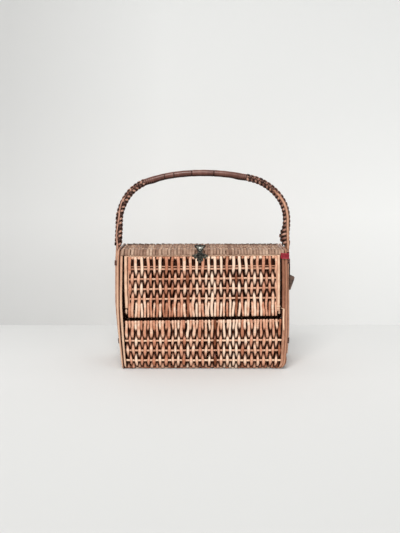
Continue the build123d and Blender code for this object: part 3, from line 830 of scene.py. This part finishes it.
# %% The flap's stiles
# Each stile is a rod with a thinner one beside it. bowed is how far its foot bends in, and out_by its shift
for side, sign, bowed, out_by in (("left", -1.0, 1.9 * MM, 2.0 * MM), ("right", 1.0, 0.5 * MM, 0.0)):
    low, high = span(f"flap_{side}_stile")
    radius = 1.15 * (high[0] - low[0]) / 2
    z = np.linspace(low[2], high[2] + 1.5 * MM, 50)[None]
    bow = bowed * np.clip((0.13 - z) / 0.045, 0, 1) ** 1.6
    rod_x = (low[0] + high[0]) / 2 + sign * out_by
    thin_x = sign * (flap_high[0] + 0.3 * out_by - 0.4 * MM)
    x = np.array([[rod_x], [thin_x]]) - sign * bow
    y = np.array([[(low[1] + high[1]) / 2], [low[1] + 0.6 * MM]])
    centre = points_at(x, y, z)
    out = everywhere(to_front, centre)
    across = everywhere(to_right, centre)
    thickness = np.array([[radius], [0.45 * radius]])
    tones = [[0.88], [0.6]]
    stile = strands(f"flap_{side}_stile_cane", centre, across, out, thickness, thickness, tones, 0.05, 12)
    place(settle(stile, False), rod_finish, "cane_rod", "flap", f"flap_{side}_stile")

repaint("hinge_rod", rod_finish)

# %% [markdown]
# ## Windings
# The loops that hold the flap's bottom rod, the lashings on the handle's legs and the red thread on the
# corner are all windings: one thread that goes round and round a core while it climbs along it. A Screw
# modifier could wind them, but only in circles, and the red thread goes round two hoops side by side.

# %% Wound thread
def winding(name, start, axis, first, second, reach, radius, turns, length, tone, finish, slot, *nodes):
    """A thread of the basket, wound round a core in a rounded oval.

    Its point is start + axis * length * share + first * reach[0] * cos(t) + second * reach[1] * sin(t), with
    t = 2 pi * turns * share. The thread lies flat, as wide as the turns are apart.
    """
    share = np.linspace(0, 1, int(turns * 28))[None, :, None]
    turn = 2 * np.pi * turns * share
    soft = 0.75
    cosine = np.sign(np.cos(turn)) * np.abs(np.cos(turn)) ** soft
    sine = np.sign(np.sin(turn)) * np.abs(np.sin(turn)) ** soft
    ring = np.array(first) * reach[0] * cosine + np.array(second) * reach[1] * sine
    centre = np.array(start) + np.array(axis) * length * share + ring
    out = ring / np.linalg.norm(ring, axis=-1, keepdims=True)
    across = everywhere(axis, centre)
    wide = np.maximum(0.52 * length / turns, radius)
    tones = np.clip(tone + wander(1, share[..., 0], 0.12, 0.31), 0, 1)
    piece = strands(name, centre, across, out, wide, radius, tones, 0.0, rim=0.7)
    return place(piece, finish, slot, "basket", *nodes)


for side, sign in (("left", -1.0), ("right", 1.0)):
    low, high = span(f"{side}_hinge_loop")
    middle = (low + high) / 2
    reach = (high[2] - low[2]) / 2 - 0.8 * MM
    start = (low[0] + 1.2 * MM, middle[1], middle[2])
    length = high[0] - low[0] - 2.4 * MM
    winding(
        f"{side}_hinge_loop_cane", start, to_right, to_back, upwards, (reach, reach), 0.8 * MM, 2.0, length,
        0.95, rod_finish, "cane_rod", f"{side}_hinge_loop",
    )

core_low, core_high = span("handle_core")
leg_radius = core_high[1]
leg_x = core_high[0] - leg_radius
for side, sign in (("left", -1.0), ("right", 1.0)):
    low, high = span(f"{side}_leg_lashing")
    for level, z in (("lower", low[2]), ("upper", high[2] - 9.0 * MM)):
        nodes = (f"{side}_leg_lashing",) if level == "lower" else ()
        reach = leg_radius + 0.6 * MM
        start = (sign * leg_x, 0, z + 0.8 * MM)
        lashing = winding(
            f"{side}_{level}_lashing", start, upwards, to_right, to_back, (reach, reach), 0.6 * MM, 5.0,
            7.4 * MM, 0.35, braid_finish, "braided_cane", *nodes,
        )
        settle(lashing)

binding_low, binding_high = span("red_binding")
binding_x = (binding_low[0] + binding_high[0]) / 2
start = (binding_x, binding_low[1] + 3.4 * MM, binding_low[2] + 3.2 * MM)
reach = ((binding_high[0] - binding_low[0]) / 2 + 0.2 * MM, 3.3 * MM)
binding = winding(
    "red_binding_thread", start, (0.0, 0.06, 1.0), to_right, to_front, reach, 0.9 * MM, 5.0, 8.6 * MM,
    0.5, thread_finish, "red_thread", "red_binding",
)
settle(binding)

# %% [markdown]
# ## Split canes at the lower right corner
# A pale split cane bends round the flap's lower right corner, and a few short ones are laid across the
# foot of the stile. Cane that has been split is flat behind and rounded in front. A curve with a bevel
# object could give that section, but a strand with a square of 0.6 is near enough to it at this size, and
# it carries the numbers that the finish reads.

# %% The split cane on the corner
cane_low, cane_high = span("corner_cane")
z = cane_high[2] - (cane_high[2] - cane_low[2]) * (1 - np.sqrt(np.linspace(0, 1, 60)[None]))
cane_x = (cane_low[0] + cane_high[0]) / 2
stile_edge = span("flap_right_stile")[1][0]
hook = (cane_x - stile_edge + 0.2 * MM) * np.clip((z - cane_high[2] + 2.2 * MM) / (2.2 * MM), 0, 1) ** 2
x = cane_x - hook + 0.3 * MM * np.sin(z * 160)


def laid_flat(name, centre, across, half_width, half_depth, tone, **shape):
    """Strands that lie against the front, with their width along one direction."""
    out = everywhere(to_front, centre)
    return strands(name, centre, everywhere(across, centre), out, half_width, half_depth, tone, 0.0, **shape)


centre = points_at(x, (cane_low[1] + cane_high[1]) / 2, z)
corner = laid_flat("corner_cane_strip", centre, to_right, 1.0 * MM, 0.5 * MM, 0.97, square=0.6)
place(settle(corner), rod_finish, "cane_rod", "basket", "corner_cane")

# %% The strips at the stile's foot
stile_low, stile_high = span("flap_right_stile")
x = np.linspace(stile_low[0] - 1.0 * MM, stile_high[0] + 0.2 * MM, 16)[None]
centre = points_at(x, stile_low[1] - 0.5 * MM, stile_low[2] + 0.6 * MM)
foot = laid_flat("stile_foot_strip", centre, upwards, 0.8 * MM, 0.5 * MM, 1.0, square=0.6)
place(settle(foot, False), rod_finish, "cane_rod", "flap")
z = stile_low[2] - np.array([[1.4], [3.3], [5.2]]) * MM + 0 * x
centre = points_at(x - 0.6 * MM, stile_low[1] - 0.1 * MM, z)
block = laid_flat("stile_foot_cane", centre, upwards, 1.0 * MM, 0.6 * MM, [[0.8], [0.9], [0.75]], rim=0.3)
place(settle(block, False), rod_finish, "cane_rod", "flap")

# %% [markdown]
# ## The handle
# A cane core rises from the foot of one end over a flat arch to the other. Both legs are covered by a round
# plait of six strands, three wound each way, and the top by a smooth wrapping. A point of the handle is
# given by its length along the core's line, an angle round it and a radius, so every covering is a formula.

# %% The handle's line
corner_bend = 62.0 * MM
crown_bend = 330.0 * MM
handle_top = core_high[2] - leg_radius
handle_foot = core_low[2]
bend_x = leg_x - corner_bend
crown_z = handle_top - crown_bend
bend_z = crown_z + math.sqrt((crown_bend - corner_bend) ** 2 - bend_x ** 2)
crown_turn = math.asin(bend_x / (crown_bend - corner_bend))


def handle_arc(x, z, radius, start, end, count):
    """Points and outward directions of an arc in X and Z, between two angles in radians."""
    turn = np.linspace(start, end, count)[:, None]
    direction = np.concatenate([np.cos(turn), np.sin(turn)], 1)
    return np.array([x, z]) + radius * direction, direction


right_angle = math.pi / 2
arcs = [
    handle_arc(-bend_x, bend_z, corner_bend, math.pi, right_angle + crown_turn, 60),
    handle_arc(0, crown_z, crown_bend, right_angle + crown_turn, right_angle - crown_turn, 90),
    handle_arc(bend_x, bend_z, corner_bend, right_angle - crown_turn, 0, 60),
]
line_points = np.concatenate([[[-leg_x, handle_foot]], *[arc[0] for arc in arcs], [[leg_x, handle_foot]]])
line_normals = np.concatenate([[[-1, 0]], *[arc[1] for arc in arcs], [[1, 0]]])
line_lengths = np.concatenate([[0], np.cumsum(np.linalg.norm(np.diff(line_points, axis=0), axis=1))])
handle_length = line_lengths[-1]


def bell(at, middle, reach):
    """A bell curve: e to the power of minus the square of (at - middle) / reach."""
    return np.exp(-(((at - middle) / reach) ** 2))


def on_handle(along, angle, radius):
    """Points and outward directions round the handle, at an angle and a radius.

    Angle 0 is away from the hand and a quarter turn is the front. The left shoulder is drawn in, and both
    shoulders sag, by bell curves over the height and over x.
    """
    x, z = (np.interp(along, line_lengths, line_points[:, i]) for i in (0, 1))
    x = x + np.where(x < 0, 1.3 * MM, 0.0) * bell(z, 239 * MM, 20 * MM)
    z = z - 1.6 * MM * bell(x, -92 * MM, 30 * MM) - 1.4 * MM * bell(x, 104 * MM, 20 * MM)
    nx, nz = (np.interp(along, line_lengths, line_normals[:, i]) for i in (0, 1))
    size = np.hypot(nx, nz)
    out = points_at(nx / size * np.cos(angle), -np.sin(angle), nz / size * np.cos(angle))
    return points_at(x, 0.0 * x, z) + out * np.asarray(radius)[..., None], out


def handle_length_at(x):
    """The length along the handle at which its arch passes over x."""
    arch = slice(1, -1)
    return np.interp(x, line_points[arch, 0], line_lengths[arch])


def along_handle_strands(
    name, along, angle, radius, half_width, half_depth, tone, recess, sides=8, square=1.0, rim=0.0
):
    """Strands that follow the handle at an angle and a radius, each lying flat on it."""
    centre, out = on_handle(along, angle, radius)
    forward = np.gradient(centre, axis=1)
    across = np.cross(forward, out)
    across /= np.linalg.norm(across, axis=-1, keepdims=True)
    return strands(
        name, centre, across, out, half_width, half_depth, tone, recess, sides, square=square, rim=rim
    )


braid_start = span("left_braid")[0][2] - handle_foot
swell_at = handle_length - braid_start - 13 * MM
swell_reach = 11 * MM
core_along = np.linspace(0, handle_length, 260)[None]
core_bulge = bell(core_along, swell_at, swell_reach)
core_swell = 2.4 * MM * core_bulge
core = along_handle_strands(
    "handle_core_cane", core_along, 0.0, -core_swell, leg_radius, leg_radius + core_swell,
    0.62, 0.1 + 0.5 * core_bulge, 12,
)
place(settle(core), rod_finish, "cane_rod", "basket", "handle_core")
print("handle", round(handle_length, 4), "m long")

# %% [markdown]
# ## The plaits
# Three flat strands wind up each leg one way and three the other, over and under each other. The plait could
# be sculpted, or drawn as a bump on a tube, but along the leg's edge only real strands give the knotted
# outline. The cosine in each strand's radius does the plaiting: where one hand is high, the other is low.

# %% The plaits
grip_low, grip_high = span("grip_wrap")
left_end = handle_length_at(grip_low[0] + 9.0 * MM)
right_start = handle_length_at(grip_high[0] - 2.0 * MM)
plait_lead = 19.0 * MM
plait_radius = 4.5 * MM
plait_rise = 0.55 * MM
plait_tones = np.array([0.8, 0.3, 0.95, 0.25, 0.65, 0.45])


def plait(name, start, end, node, swell=0.0):
    """Six flat strands round the core. Strand j of one hand runs at angle 2 pi * (length / lead + j / 3).

    Its radius is the mean + rise * cos(6 pi * length / lead), and the other hand's is the mean - the same,
    so at every crossing one hand lies over the other. swell thickens the inner side near the foot of the
    right leg.
    """
    along = np.linspace(start, end, int((end - start) / (0.7 * MM)))[None] * np.ones((6, 1))
    hand = np.array([1, 1, 1, -1, -1, -1])[:, None]
    strand = np.array([0, 1, 2, 0, 1, 2])[:, None]
    angle = hand * 2 * np.pi * along / plait_lead + 2 * np.pi * strand / 3
    share = hand * np.cos(6 * np.pi * along / plait_lead)
    bulge = bell(along, swell_at, swell_reach)
    radius = plait_radius + plait_rise * share + swell * bulge * np.clip(-np.cos(angle), -0.3, 1)
    tone = np.clip(plait_tones[:, None] + wander(6, along, 0.2, 0.02), 0, 1)
    wide = (1.75 + 0.2 * share) * MM
    # Painted shade: a strand is darker where it passes under the other hand
    recess = 0.45 - 0.5 * share
    piece = along_handle_strands(name, along, angle, radius, wide, 0.7 * MM, tone, recess, 8, 0.85, 0.7)
    return place(settle(piece), braid_finish, "braided_cane", "basket", node)


plait("left_plait", braid_start, left_end, "left_braid")
plait("right_plait", right_start, handle_length - braid_start, "right_braid", 5.4 * MM)

# %% [markdown]
# ## The pale canes beside the plaits
# A length of pale cane lies along the front of each leg, perhaps from a repair. It could be drawn as a curve
# by hand. But it follows the leg, so the helper that lays the plait's strands lays it too, with an angle
# that hardly changes and a radius that sinks into the plait at the upper end.

# %% The pale canes beside the plaits
left_top = left_end - 34 * MM
left_cane = np.linspace(braid_start - 6 * MM, left_top, 90)[None]
lift = np.clip((left_top - left_cane) / (12 * MM), 0, 1)
angle = 1.3 + 0.25 * np.sin(left_cane * 130)
tone = 0.9 + 0.1 * np.sin(left_cane * 310)
cane = along_handle_strands(
    "left_leg_cane", left_cane, angle, (4.2 + 1.0 * lift) * MM, 1.2 * MM, 0.9 * MM, tone, 0.0, 10, 0.9, 0.6
)
place(settle(cane), braid_finish, "braided_cane", "basket")
right_top = right_start + 42 * MM
right_cane = np.linspace(right_top, handle_length - braid_start + 6 * MM, 100)[None]
lift = np.clip((right_cane - right_top) / (30 * MM), 0, 1)
cane = along_handle_strands(
    "right_leg_cane", right_cane, 1.5 - 0.1 * lift, (3.8 + 1.4 * lift) * MM, 2.2 * MM, 1.3 * MM,
    0.5 + 0.15 * lift, 0.0, 12, 0.95, 0.9,
)
place(settle(cane), rod_finish, "cane_rod", "basket")

# %% [markdown]
# ## The wrapping of the grip
# The grip is wound with thin varnished cane, worn so smooth that single turns show only near its ends and as
# a few grooves. It could be wound as one long thread, like the lashings, at the cost of many more faces. One
# round skin looks the same here: its radius follows the turns near the ends, and the same ridges say where
# the furrows get painted shade.

# %% The smooth wrapping of the grip
along = np.linspace(left_end - 1 * MM, right_start + 1 * MM, 420)[None]
middle_share = (along - along.min()) / (along.max() - along.min())
turns_apart = 3.1 * MM
near_end = np.clip(1 - np.minimum(middle_share / 0.16, (1 - middle_share) / 0.13), 0, 1)
turn_ridge = np.abs(np.sin(np.pi * along / turns_apart)) ** 0.6
swell = 0.5 * MM * (bell(middle_share, 0.09, 0.06) + bell(middle_share, 0.93, 0.05))
grooves = sum(bell(middle_share, groove, 0.0035) for groove in (0.21, 0.30, 0.47, 0.68))
ridge = near_end * (turn_ridge - 1) * 0.35 * MM - grooves * 0.35 * MM
half_flat = 4.9 * MM + swell + ridge + 0.08 * MM * np.sin(along * 400)
half_deep = 4.6 * MM + 0.8 * swell + ridge
# Painted shade in the furrows between the turns near the ends and in the grooves
dark = np.clip(near_end * (1 - turn_ridge) * 1.2 + grooves, 0, 1)
tone = 0.5 + wander(1, along, 0.1, 0.03) + 0.12 * near_end
grip = along_handle_strands("grip_wrapping", along, 0.0, -1.2 * swell, half_deep, half_flat, tone, dark, 24)
place(grip, grip_finish, "grip_cane", "basket", "grip_wrap")

# %% [markdown]
# ## The wedge
# A small dark wooden wedge is tied to the right side. It is a flat outline with a thickness, and its edges
# are rounded by a Bevel modifier, because only worn edges catch a line of light.

# %% The wedge and its tie
def plain_finish(name, low_colour, high_colour, roughness, metallic=0.0, scale=160.0, wear_and_highlight=0.0):
    """Two colours mixed by noise on Object coordinates, with a fine bump. wear adds to the second's share."""
    finish = Finish(name)
    spot = finish.node("ShaderNodeTexCoord", output="Object")
    patch = finish.noise(spot, scale, 4.0)
    fine = finish.noise(spot, scale * 6, 3.0)
    share = finish.clamped((patch - 0.5) * 2.6 + 0.5 + (fine - 0.5) * 0.5 + wear_and_highlight)
    finish.set(Base_Color=finish.mixed(share, low_colour, high_colour), Metallic=metallic)
    finish.set(Roughness=roughness + (fine - 0.5) * 0.3, Normal=finish.bumped(fine + patch, 0.4, 0.0002))
    return finish.material


dark_wood = plain_finish("dark worn wood", (0.016, 0.008, 0.006), (0.18, 0.11, 0.08), 0.45)
wedge_low, wedge_high = span("side_wedge")
wedge_size = wedge_high - wedge_low
wedge_outline = np.array([(0, 1), (1, 0.82), (0.92, 0.68), (0.24, 0), (0, 0)])
flat = wedge_low[[0, 2]] + wedge_outline * wedge_size[[0, 2]] - np.array([1.0 * MM, 0])
corners = len(flat)
points = [(x, y, z) for y in (wedge_low[1], wedge_high[1]) for x, z in flat]
faces = [list(range(corners)), list(range(2 * corners - 1, corners - 1, -1))]
faces += [[i, i + corners, (i + 1) % corners + corners, (i + 1) % corners] for i in range(corners)]
wedge = new_piece("wedge", points, [face[::-1] for face in faces], smooth=False)
bevel = wedge.modifiers.new("worn edges", "BEVEL")
bevel.width = 0.8 * MM
bevel.segments = 3
place(settle(wedge), dark_wood, "dark_wood", "basket", "side_wedge")

tie_low, tie_high = span("wedge_tie")
z = np.linspace(tie_low[2] - 2 * MM, tie_high[2] + 3 * MM, 24)[None]
bow = np.sin(np.linspace(0, np.pi, 24))[None]
x = np.array([[-0.6 * MM], [0.5 * MM]]) + tie_low[0] - 0.4 * MM + 0.2 * MM * bow
y = np.array([[-1.2 * MM], [0.6 * MM]]) + 0.9 * MM * bow * np.array([[-1], [1]])
centre = points_at(x, y, z)
across = everywhere(to_right, centre)
out = everywhere(to_front, centre)
tie = strands("wedge_tie_thread", centre, across, out, 0.7 * MM, 0.7 * MM, 0.1, 0.5)
place(settle(tie), braid_finish, "dark_wood", "basket", "wedge_tie")
print("wedge", np.round(wedge_size, 4))

# %% [markdown]
# ## The clasp
# The clasp is cast metal, almost black in its hollows and bright on its high spots. Its leafy plate is one
# surface on a polar grid: the edge swings in and out with the angle, and veins raise the surface.

# %% Metal finish and surfaces
metal = plain_finish("dark cast metal", (0.003, 0.003, 0.002), (0.26, 0.25, 0.20), 0.34, 0.7, 340.0, -0.25)
black_metal = plain_finish("black metal", (0.004, 0.004, 0.003), (0.016, 0.015, 0.012), 0.7, 0.0, 420.0)
# Pale metal for rubbed heads; its pale colour also paints the highlight on the button
rubbed_highlit_metal = plain_finish("rubbed metal with painted highlight", (0.30, 0.30, 0.27), (0.86, 0.86, 0.82), 0.16, 0.6, 300.0, 0.4)


def ringed_piece(name, points):
    """A closed skin from a grid of points (rings, steps, 3), with both of its ends filled."""
    rings, steps = points.shape[:2]
    ring, step = np.meshgrid(np.arange(rings - 1), np.arange(steps), indexing="ij")
    following = (step + 1) % steps
    here, there = ring * steps, (ring + 1) * steps
    corners = [here + step, here + following, there + following, there + step]
    faces = np.stack(corners, -1).reshape(-1, 4).tolist()
    faces.append(list(range(steps))[::-1])
    faces.append(list(range((rings - 1) * steps, rings * steps)))
    return new_piece(name, points.reshape(-1, 3), faces)


print("metals ready:", metal.name, black_metal.name, rubbed_highlit_metal.name)


# %% The leafy plate
plate_low, plate_high = span("clasp_flap_plate")
clasp_x = (plate_low[0] + plate_high[0]) / 2
leaf_top = plate_high[2] - 2.0 * MM
leaf_centre_z = leaf_top - 1.4 * MM
leaf_back = plate_low[1] + 3.4 * MM
turn = np.linspace(0, 2 * np.pi, 121)[:-1]
lobes = 0.6 + 0.4 * np.abs(np.cos(2 * turn)) ** 1.3 + 0.07 * np.cos(12 * turn)
reach_x = 11.0 * MM * lobes
reach_z = np.where(np.sin(turn) < 0, 10.4, 5.2) * MM * lobes
shares = np.array([1.0, 1.0, 0.97, 0.9, 0.8, 0.68, 0.55, 0.42, 0.3, 0.18, 0.06])[:, None]
veins = 0.28 * np.cos(8 * (turn + right_angle)) + 0.2 * np.cos(5 * turn + 9 * shares)
dome = 0.35 + 1.25 * np.sqrt(np.clip(1 - shares ** 2, 0, 1)) + veins * np.sin(np.pi * shares) ** 0.8
dome[0] = 0.0
dome[1] = 0.35
points = points_at(
    clasp_x + shares * reach_x * np.cos(turn),
    leaf_back - dome * MM,
    leaf_centre_z + shares * reach_z * np.sin(turn),
)
leaf = ringed_piece("clasp_leaf", points)
place(leaf, metal, "clasp_metal", "flap", "clasp_flap_plate", "flap_plate_rivets")

# %% [markdown]
# ## The hinge of the hasp
# The ring turns on a pin that passes through three short barrels, two on the leaf and one on the ring. Such
# parts are turned on a lathe, and a Screw modifier could do the same. A function that takes lengths and radii
# is shorter, and it also makes the finial, the button's shank and the rivets.

# %% Knuckles and pin
pin_low, pin_high = span("clasp_pin")
hasp_y = (pin_low[1] + pin_high[1]) / 2
hasp_z = (pin_low[2] + pin_high[2]) / 2


def turned(name, start, axis, lengths, radii, sides=20):
    """A turned piece: rings of the given radii at the given lengths along an axis from a start point."""
    axis = np.array(axis, float)
    helper = np.array([0.0, 0.0, 1.0]) if abs(axis[2]) < 0.5 else np.array([1.0, 0.0, 0.0])
    first = np.cross(helper, axis)
    second = np.cross(axis, first)
    angle = np.arange(sides) * 2 * np.pi / sides
    ring = first * np.cos(angle)[:, None] + second * np.sin(angle)[:, None]
    centre = np.array(start) + axis * np.array(lengths)[:, None]
    return ringed_piece(name, centre[:, None] + np.array(radii)[:, None, None] * ring)


barrel = np.array([0.0, 0.25, 0.25, 2.75, 2.75, 3.0]) * MM
barrel_radii = np.array([0.4, 1.1, 1.35, 1.35, 1.1, 0.4]) * MM
knuckles = (("left_knuckle", -4.8, "flap"), ("right_knuckle", 1.8, "flap"), ("hasp_knuckle", -1.5, "hasp"))
for name, shift, body in knuckles:
    start = (clasp_x + shift * MM, hasp_y, hasp_z)
    knuckle = turned(name, start, to_right, barrel, barrel_radii)
    place(knuckle, black_metal, "clasp_metal", body)
repaint("clasp_pin", metal)

# %% [markdown]
# ## The ring
# The ring is a metal wire bent to a triangle, with its point at the pin, its wide side at the top and a
# small turned finial on it. A curve object with a bevel could draw it. A closed strand does the same with
# the helper that is already here, and averaging its points twice rounds the three corners.

# %% The triangular ring
ring_corners = np.array([[0, 2.8], [7.9, 12.5], [-7.9, 12.5]]) * MM
edge_share = np.linspace(0, 1, 25)[:-1, None]
edges = zip(ring_corners, np.roll(ring_corners, -1, 0))
path = np.concatenate([start * (1 - edge_share) + end * edge_share for start, end in edges])
for _ in range(2):
    path = (np.roll(path, 1, 0) + 2 * path + np.roll(path, -1, 0)) / 4
centre = points_at(clasp_x + path[:, 0], hasp_y, hasp_z + path[:, 1])[None]
forward = np.roll(centre, -1, 1) - np.roll(centre, 1, 1)
out = everywhere(to_front, centre)
across = np.cross(forward, out)
across /= np.linalg.norm(across, axis=-1, keepdims=True)
ring = strands(
    "hasp_triangle", centre, across, out, 0.95 * MM, 0.68 * MM, 0.5, 0.0, 10, closed=True, square=0.8
)
place(ring, black_metal, "clasp_metal", "hasp", "hasp_ring")
finial_heights = np.array([0, 0.6, 1.4, 2.4]) * MM
finial_radii = np.array([0.9, 1.05, 0.75, 0.15]) * MM
start = (clasp_x, hasp_y, hasp_z + 12.7 * MM)
finial = turned("hasp_finial", start, upwards, finial_heights, finial_radii, 12)
place(finial, black_metal, "clasp_metal", "hasp")

# %% [markdown]
# ## The plate on the top
# A metal plate goes over the top edge behind the ring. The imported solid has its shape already, so only its
# finish is new. The plate is clean inside the ring and dark outside it. That could be painted on by hand,
# but a distance from the middle compared with a height draws the same V, and needs no picture.

# %% The plate on the top
def plate_finish(centre_x, apex_z, slope):
    """Grey-green metal, kept clean inside the ring and dark outside the V that the ring's sides draw."""
    finish = Finish("grey-green metal")
    spot = finish.node("ShaderNodeTexCoord", output="Object")
    across = finish.node("ShaderNodeSeparateXYZ", None, {"Vector": spot}, "X")
    up = finish.node("ShaderNodeSeparateXYZ", None, {"Vector": spot}, "Z")
    aside = finish.node("ShaderNodeMath", {"operation": "ABSOLUTE"}, {0: across - float(centre_x)})
    outside = finish.clamped((aside - (up - float(apex_z)) * slope) * 900.0)
    patch = finish.clamped((finish.noise(spot, 380.0, 4.0) - 0.5) * 2.6 + 0.6)
    colour = finish.mixed(patch, (0.12, 0.125, 0.10), (0.42, 0.43, 0.37))
    finish.set(Base_Color=finish.mixed(outside, colour, (0.05, 0.036, 0.028)), Roughness=0.5, Metallic=0.3)
    return finish.material


repaint("clasp_top_plate", plate_finish(clasp_x, hasp_z + 1.0 * MM, 0.7))

# %% [markdown]
# ## The button and the rivets
# The button is a small oval dome on a shank, and it is turned to hold the ring. Half of a scaled sphere would
# give the dome. Here it is a grid of rings like the leaf, because its size then comes straight from the
# packed box. Hands rub such heads bright, so the button and the rivets get the brightest metal, and its pale
# colour also paints the highlight on the button's dome.

# %% The button and the rivets
button_low, button_high = span("turn_button")
button_centre = (button_low + button_high) / 2
climb = np.linspace(0, right_angle * 0.98, 9)[::-1, None]
angle = np.arange(28) * 2 * np.pi / 28
oval_x = 0.76 * (button_high[0] - button_low[0]) / 2
oval_z = 0.88 * (button_high[2] - button_low[2]) / 2
head_back = button_low[1] + 1.3 * MM
points = points_at(
    button_centre[0] + np.sin(climb) * oval_x * np.cos(angle),
    head_back - np.cos(climb) * 1.3 * MM,
    button_centre[2] + np.sin(climb) * oval_z * np.sin(angle),
)
head = ringed_piece("button_head", points)
# The button's pale metal is partly a painted highlight on its dome
place(head, rubbed_highlit_metal, "clasp_metal", "turn_button", "turn_button")
start = (button_centre[0], head_back - 0.2 * MM, button_centre[2])
shank_lengths = np.array([0, 2.0, 3.7, 3.7, 4.5]) * MM
shank_radii = np.array([0.8, 0.8, 0.8, 1.5, 1.4]) * MM
shank = turned("button_shank", start, to_back, shank_lengths, shank_radii, 16)
place(shank, metal, "clasp_metal", "turn_button")
rivets_low, rivets_high = span("top_plate_rivets")
rivet_heights = np.array([0, 4.7, 4.7, 5.1, 5.45, 5.6]) * MM
rivet_radii = np.array([0.9, 0.9, 1.8, 1.7, 1.1, 0.3]) * MM
for number, y in enumerate((rivets_low[1] + 1.8 * MM, rivets_high[1] - 1.8 * MM)):
    start = (clasp_x, y, rivets_high[2] - 5.6 * MM)
    rivet = turned(f"strap_rivet_{number}", start, upwards, rivet_heights, rivet_radii, 16)
    nodes = ("top_plate_rivets",) if number == 0 else ()
    place(rivet, rubbed_highlit_metal, "clasp_metal", "basket", *nodes)

# %% [markdown]
# ## The setting
# The bag stands on a white floor close to a pale wall, in soft light from the left. The floor and the wall
# are stage, not part of the object.

# %% Floor and wall
def stage_plane(name, corners, axis, slope, first_colour, second_colour, rise):
    """One flat face of the setting, whose colour runs from the first to the second along an axis.

    Both runs are painted light and shade: the colour along the axis stands in for the fall of the lamp's
    light, and rise holds the stops of a second ramp, over the height in metres, that darkens the first, a
    painted shade. The face is clear from behind, so that it hides nothing in views from the back.
    """
    plane = new_piece(name, corners, [[0, 1, 2, 3]], smooth=False)
    finish = Finish(name)
    spot = finish.node("ShaderNodeTexCoord", output="Object")
    along = finish.node("ShaderNodeSeparateXYZ", None, {"Vector": spot}, axis)
    share = finish.clamped(along * slope + 1.25)
    height = finish.node("ShaderNodeSeparateXYZ", None, {"Vector": spot}, "Z")
    darker = finish.node("ShaderNodeValToRGB", {"stops": rise}, {"Fac": height}, "Color")
    colour = finish.mixed(share, first_colour, second_colour)
    finish.set(Base_Color=finish.mixed(1.0, colour, darker, "MULTIPLY"), Roughness=0.9)
    finish.set(Alpha=1.0 - finish.node("ShaderNodeNewGeometry", output="Backfacing"))
    plane.data.materials.append(finish.material)


wall_y = 0.275
floor_z = -0.0002
edge = 4.0
seam_left, seam_right = (-edge, wall_y, floor_z), (edge, wall_y, floor_z)
floor_corners = [(-edge, -edge, floor_z), (edge, -edge, floor_z), seam_right, seam_left]
wall_corners = [seam_left, seam_right, (edge, wall_y, edge), (-edge, wall_y, edge)]
floor_rise = [(0.0, (1.0, 1.0, 1.0))]
# Painted shade on the wall: darker at its foot and above 0.2 m
wall_rise = [
    (0.0, (0.93, 0.93, 0.93)),
    (0.2, (1.0, 1.0, 1.0)),
    (0.4, (0.88, 0.88, 0.88)),
    (0.6, (0.80, 0.80, 0.80)),
]
# Painted light and shade: the floor darker towards the camera, the wall darker to the left
stage_plane("floor", floor_corners, "Y", 2.2, (0.60, 0.605, 0.60), (0.73, 0.735, 0.73), floor_rise)
stage_plane("wall", wall_corners, "X", 3.5, (0.645, 0.65, 0.645), (0.80, 0.81, 0.805), wall_rise)

# %% [markdown]
# ## The light
# The light in the photograph is soft and comes from above the camera, as through a window. A single point
# would draw a hard shadow beside every reed. A large square lamp softens them, a weak one on the right keeps
# that side from turning black, and a plain white world reaches what neither of them does.

# %% Lights
def area_light(name, position, size, power, colour=(1.0, 1.0, 1.0)):
    """A square lamp that looks at the bag."""
    lamp = bpy.data.lights.new(name, "AREA")
    lamp.size = size
    lamp.energy = power
    lamp.color = colour
    light = bpy.data.objects.new(name, lamp)
    light.location = position
    light.rotation_euler = (Vector((0, 0, 0.12)) - Vector(position)).to_track_quat("-Z", "Y").to_euler()
    bpy.context.scene.collection.objects.link(light)


area_light("window", (-0.3, -1.7, 1.9), 1.1, 44.0, (1.0, 0.985, 0.965))
area_light("fill", (1.2, -1.5, 0.8), 1.2, 6.0)
world = bpy.data.worlds.new("room")
bpy.context.scene.world = world
world.use_nodes = True
background = world.node_tree.nodes["Background"].inputs
background["Color"].default_value = (1.0, 1.0, 1.0, 1.0)
background["Strength"].default_value = 0.5
print("lamps:", [light.name for light in bpy.data.lights])

# %% [markdown]
# ## The camera
# The photograph was taken from about 1.2 m, with the lens 0.3 m above the floor. Its upright edges don't
# converge, and the eye's level lies well above the middle of the picture, as in the lower part of a larger
# picture. So the camera looks straight ahead and its frame is shifted down. The picture is upright, which
# makes the sensor's long side its height.

# %% Camera
focal_pixels = 832.0
picture_height = 533.0
eye_level = 161.5
camera_data = bpy.data.cameras.new("camera")
camera_data.sensor_width = 36.0
camera_data.lens = focal_pixels / picture_height * camera_data.sensor_width
camera = bpy.data.objects.new("camera", camera_data)
camera.location = (-4.1 * MM, -1252.5 * MM, 300.0 * MM)
camera_data.shift_y = (eye_level - picture_height / 2) / picture_height
camera.rotation_euler = (right_angle, 0.0, 0.0)
bpy.context.scene.collection.objects.link(camera)
bpy.context.scene.camera = camera
bpy.context.scene.view_settings.view_transform = "Standard"
print("camera shift", round(camera_data.shift_y, 3), "lens", round(camera_data.lens, 2))
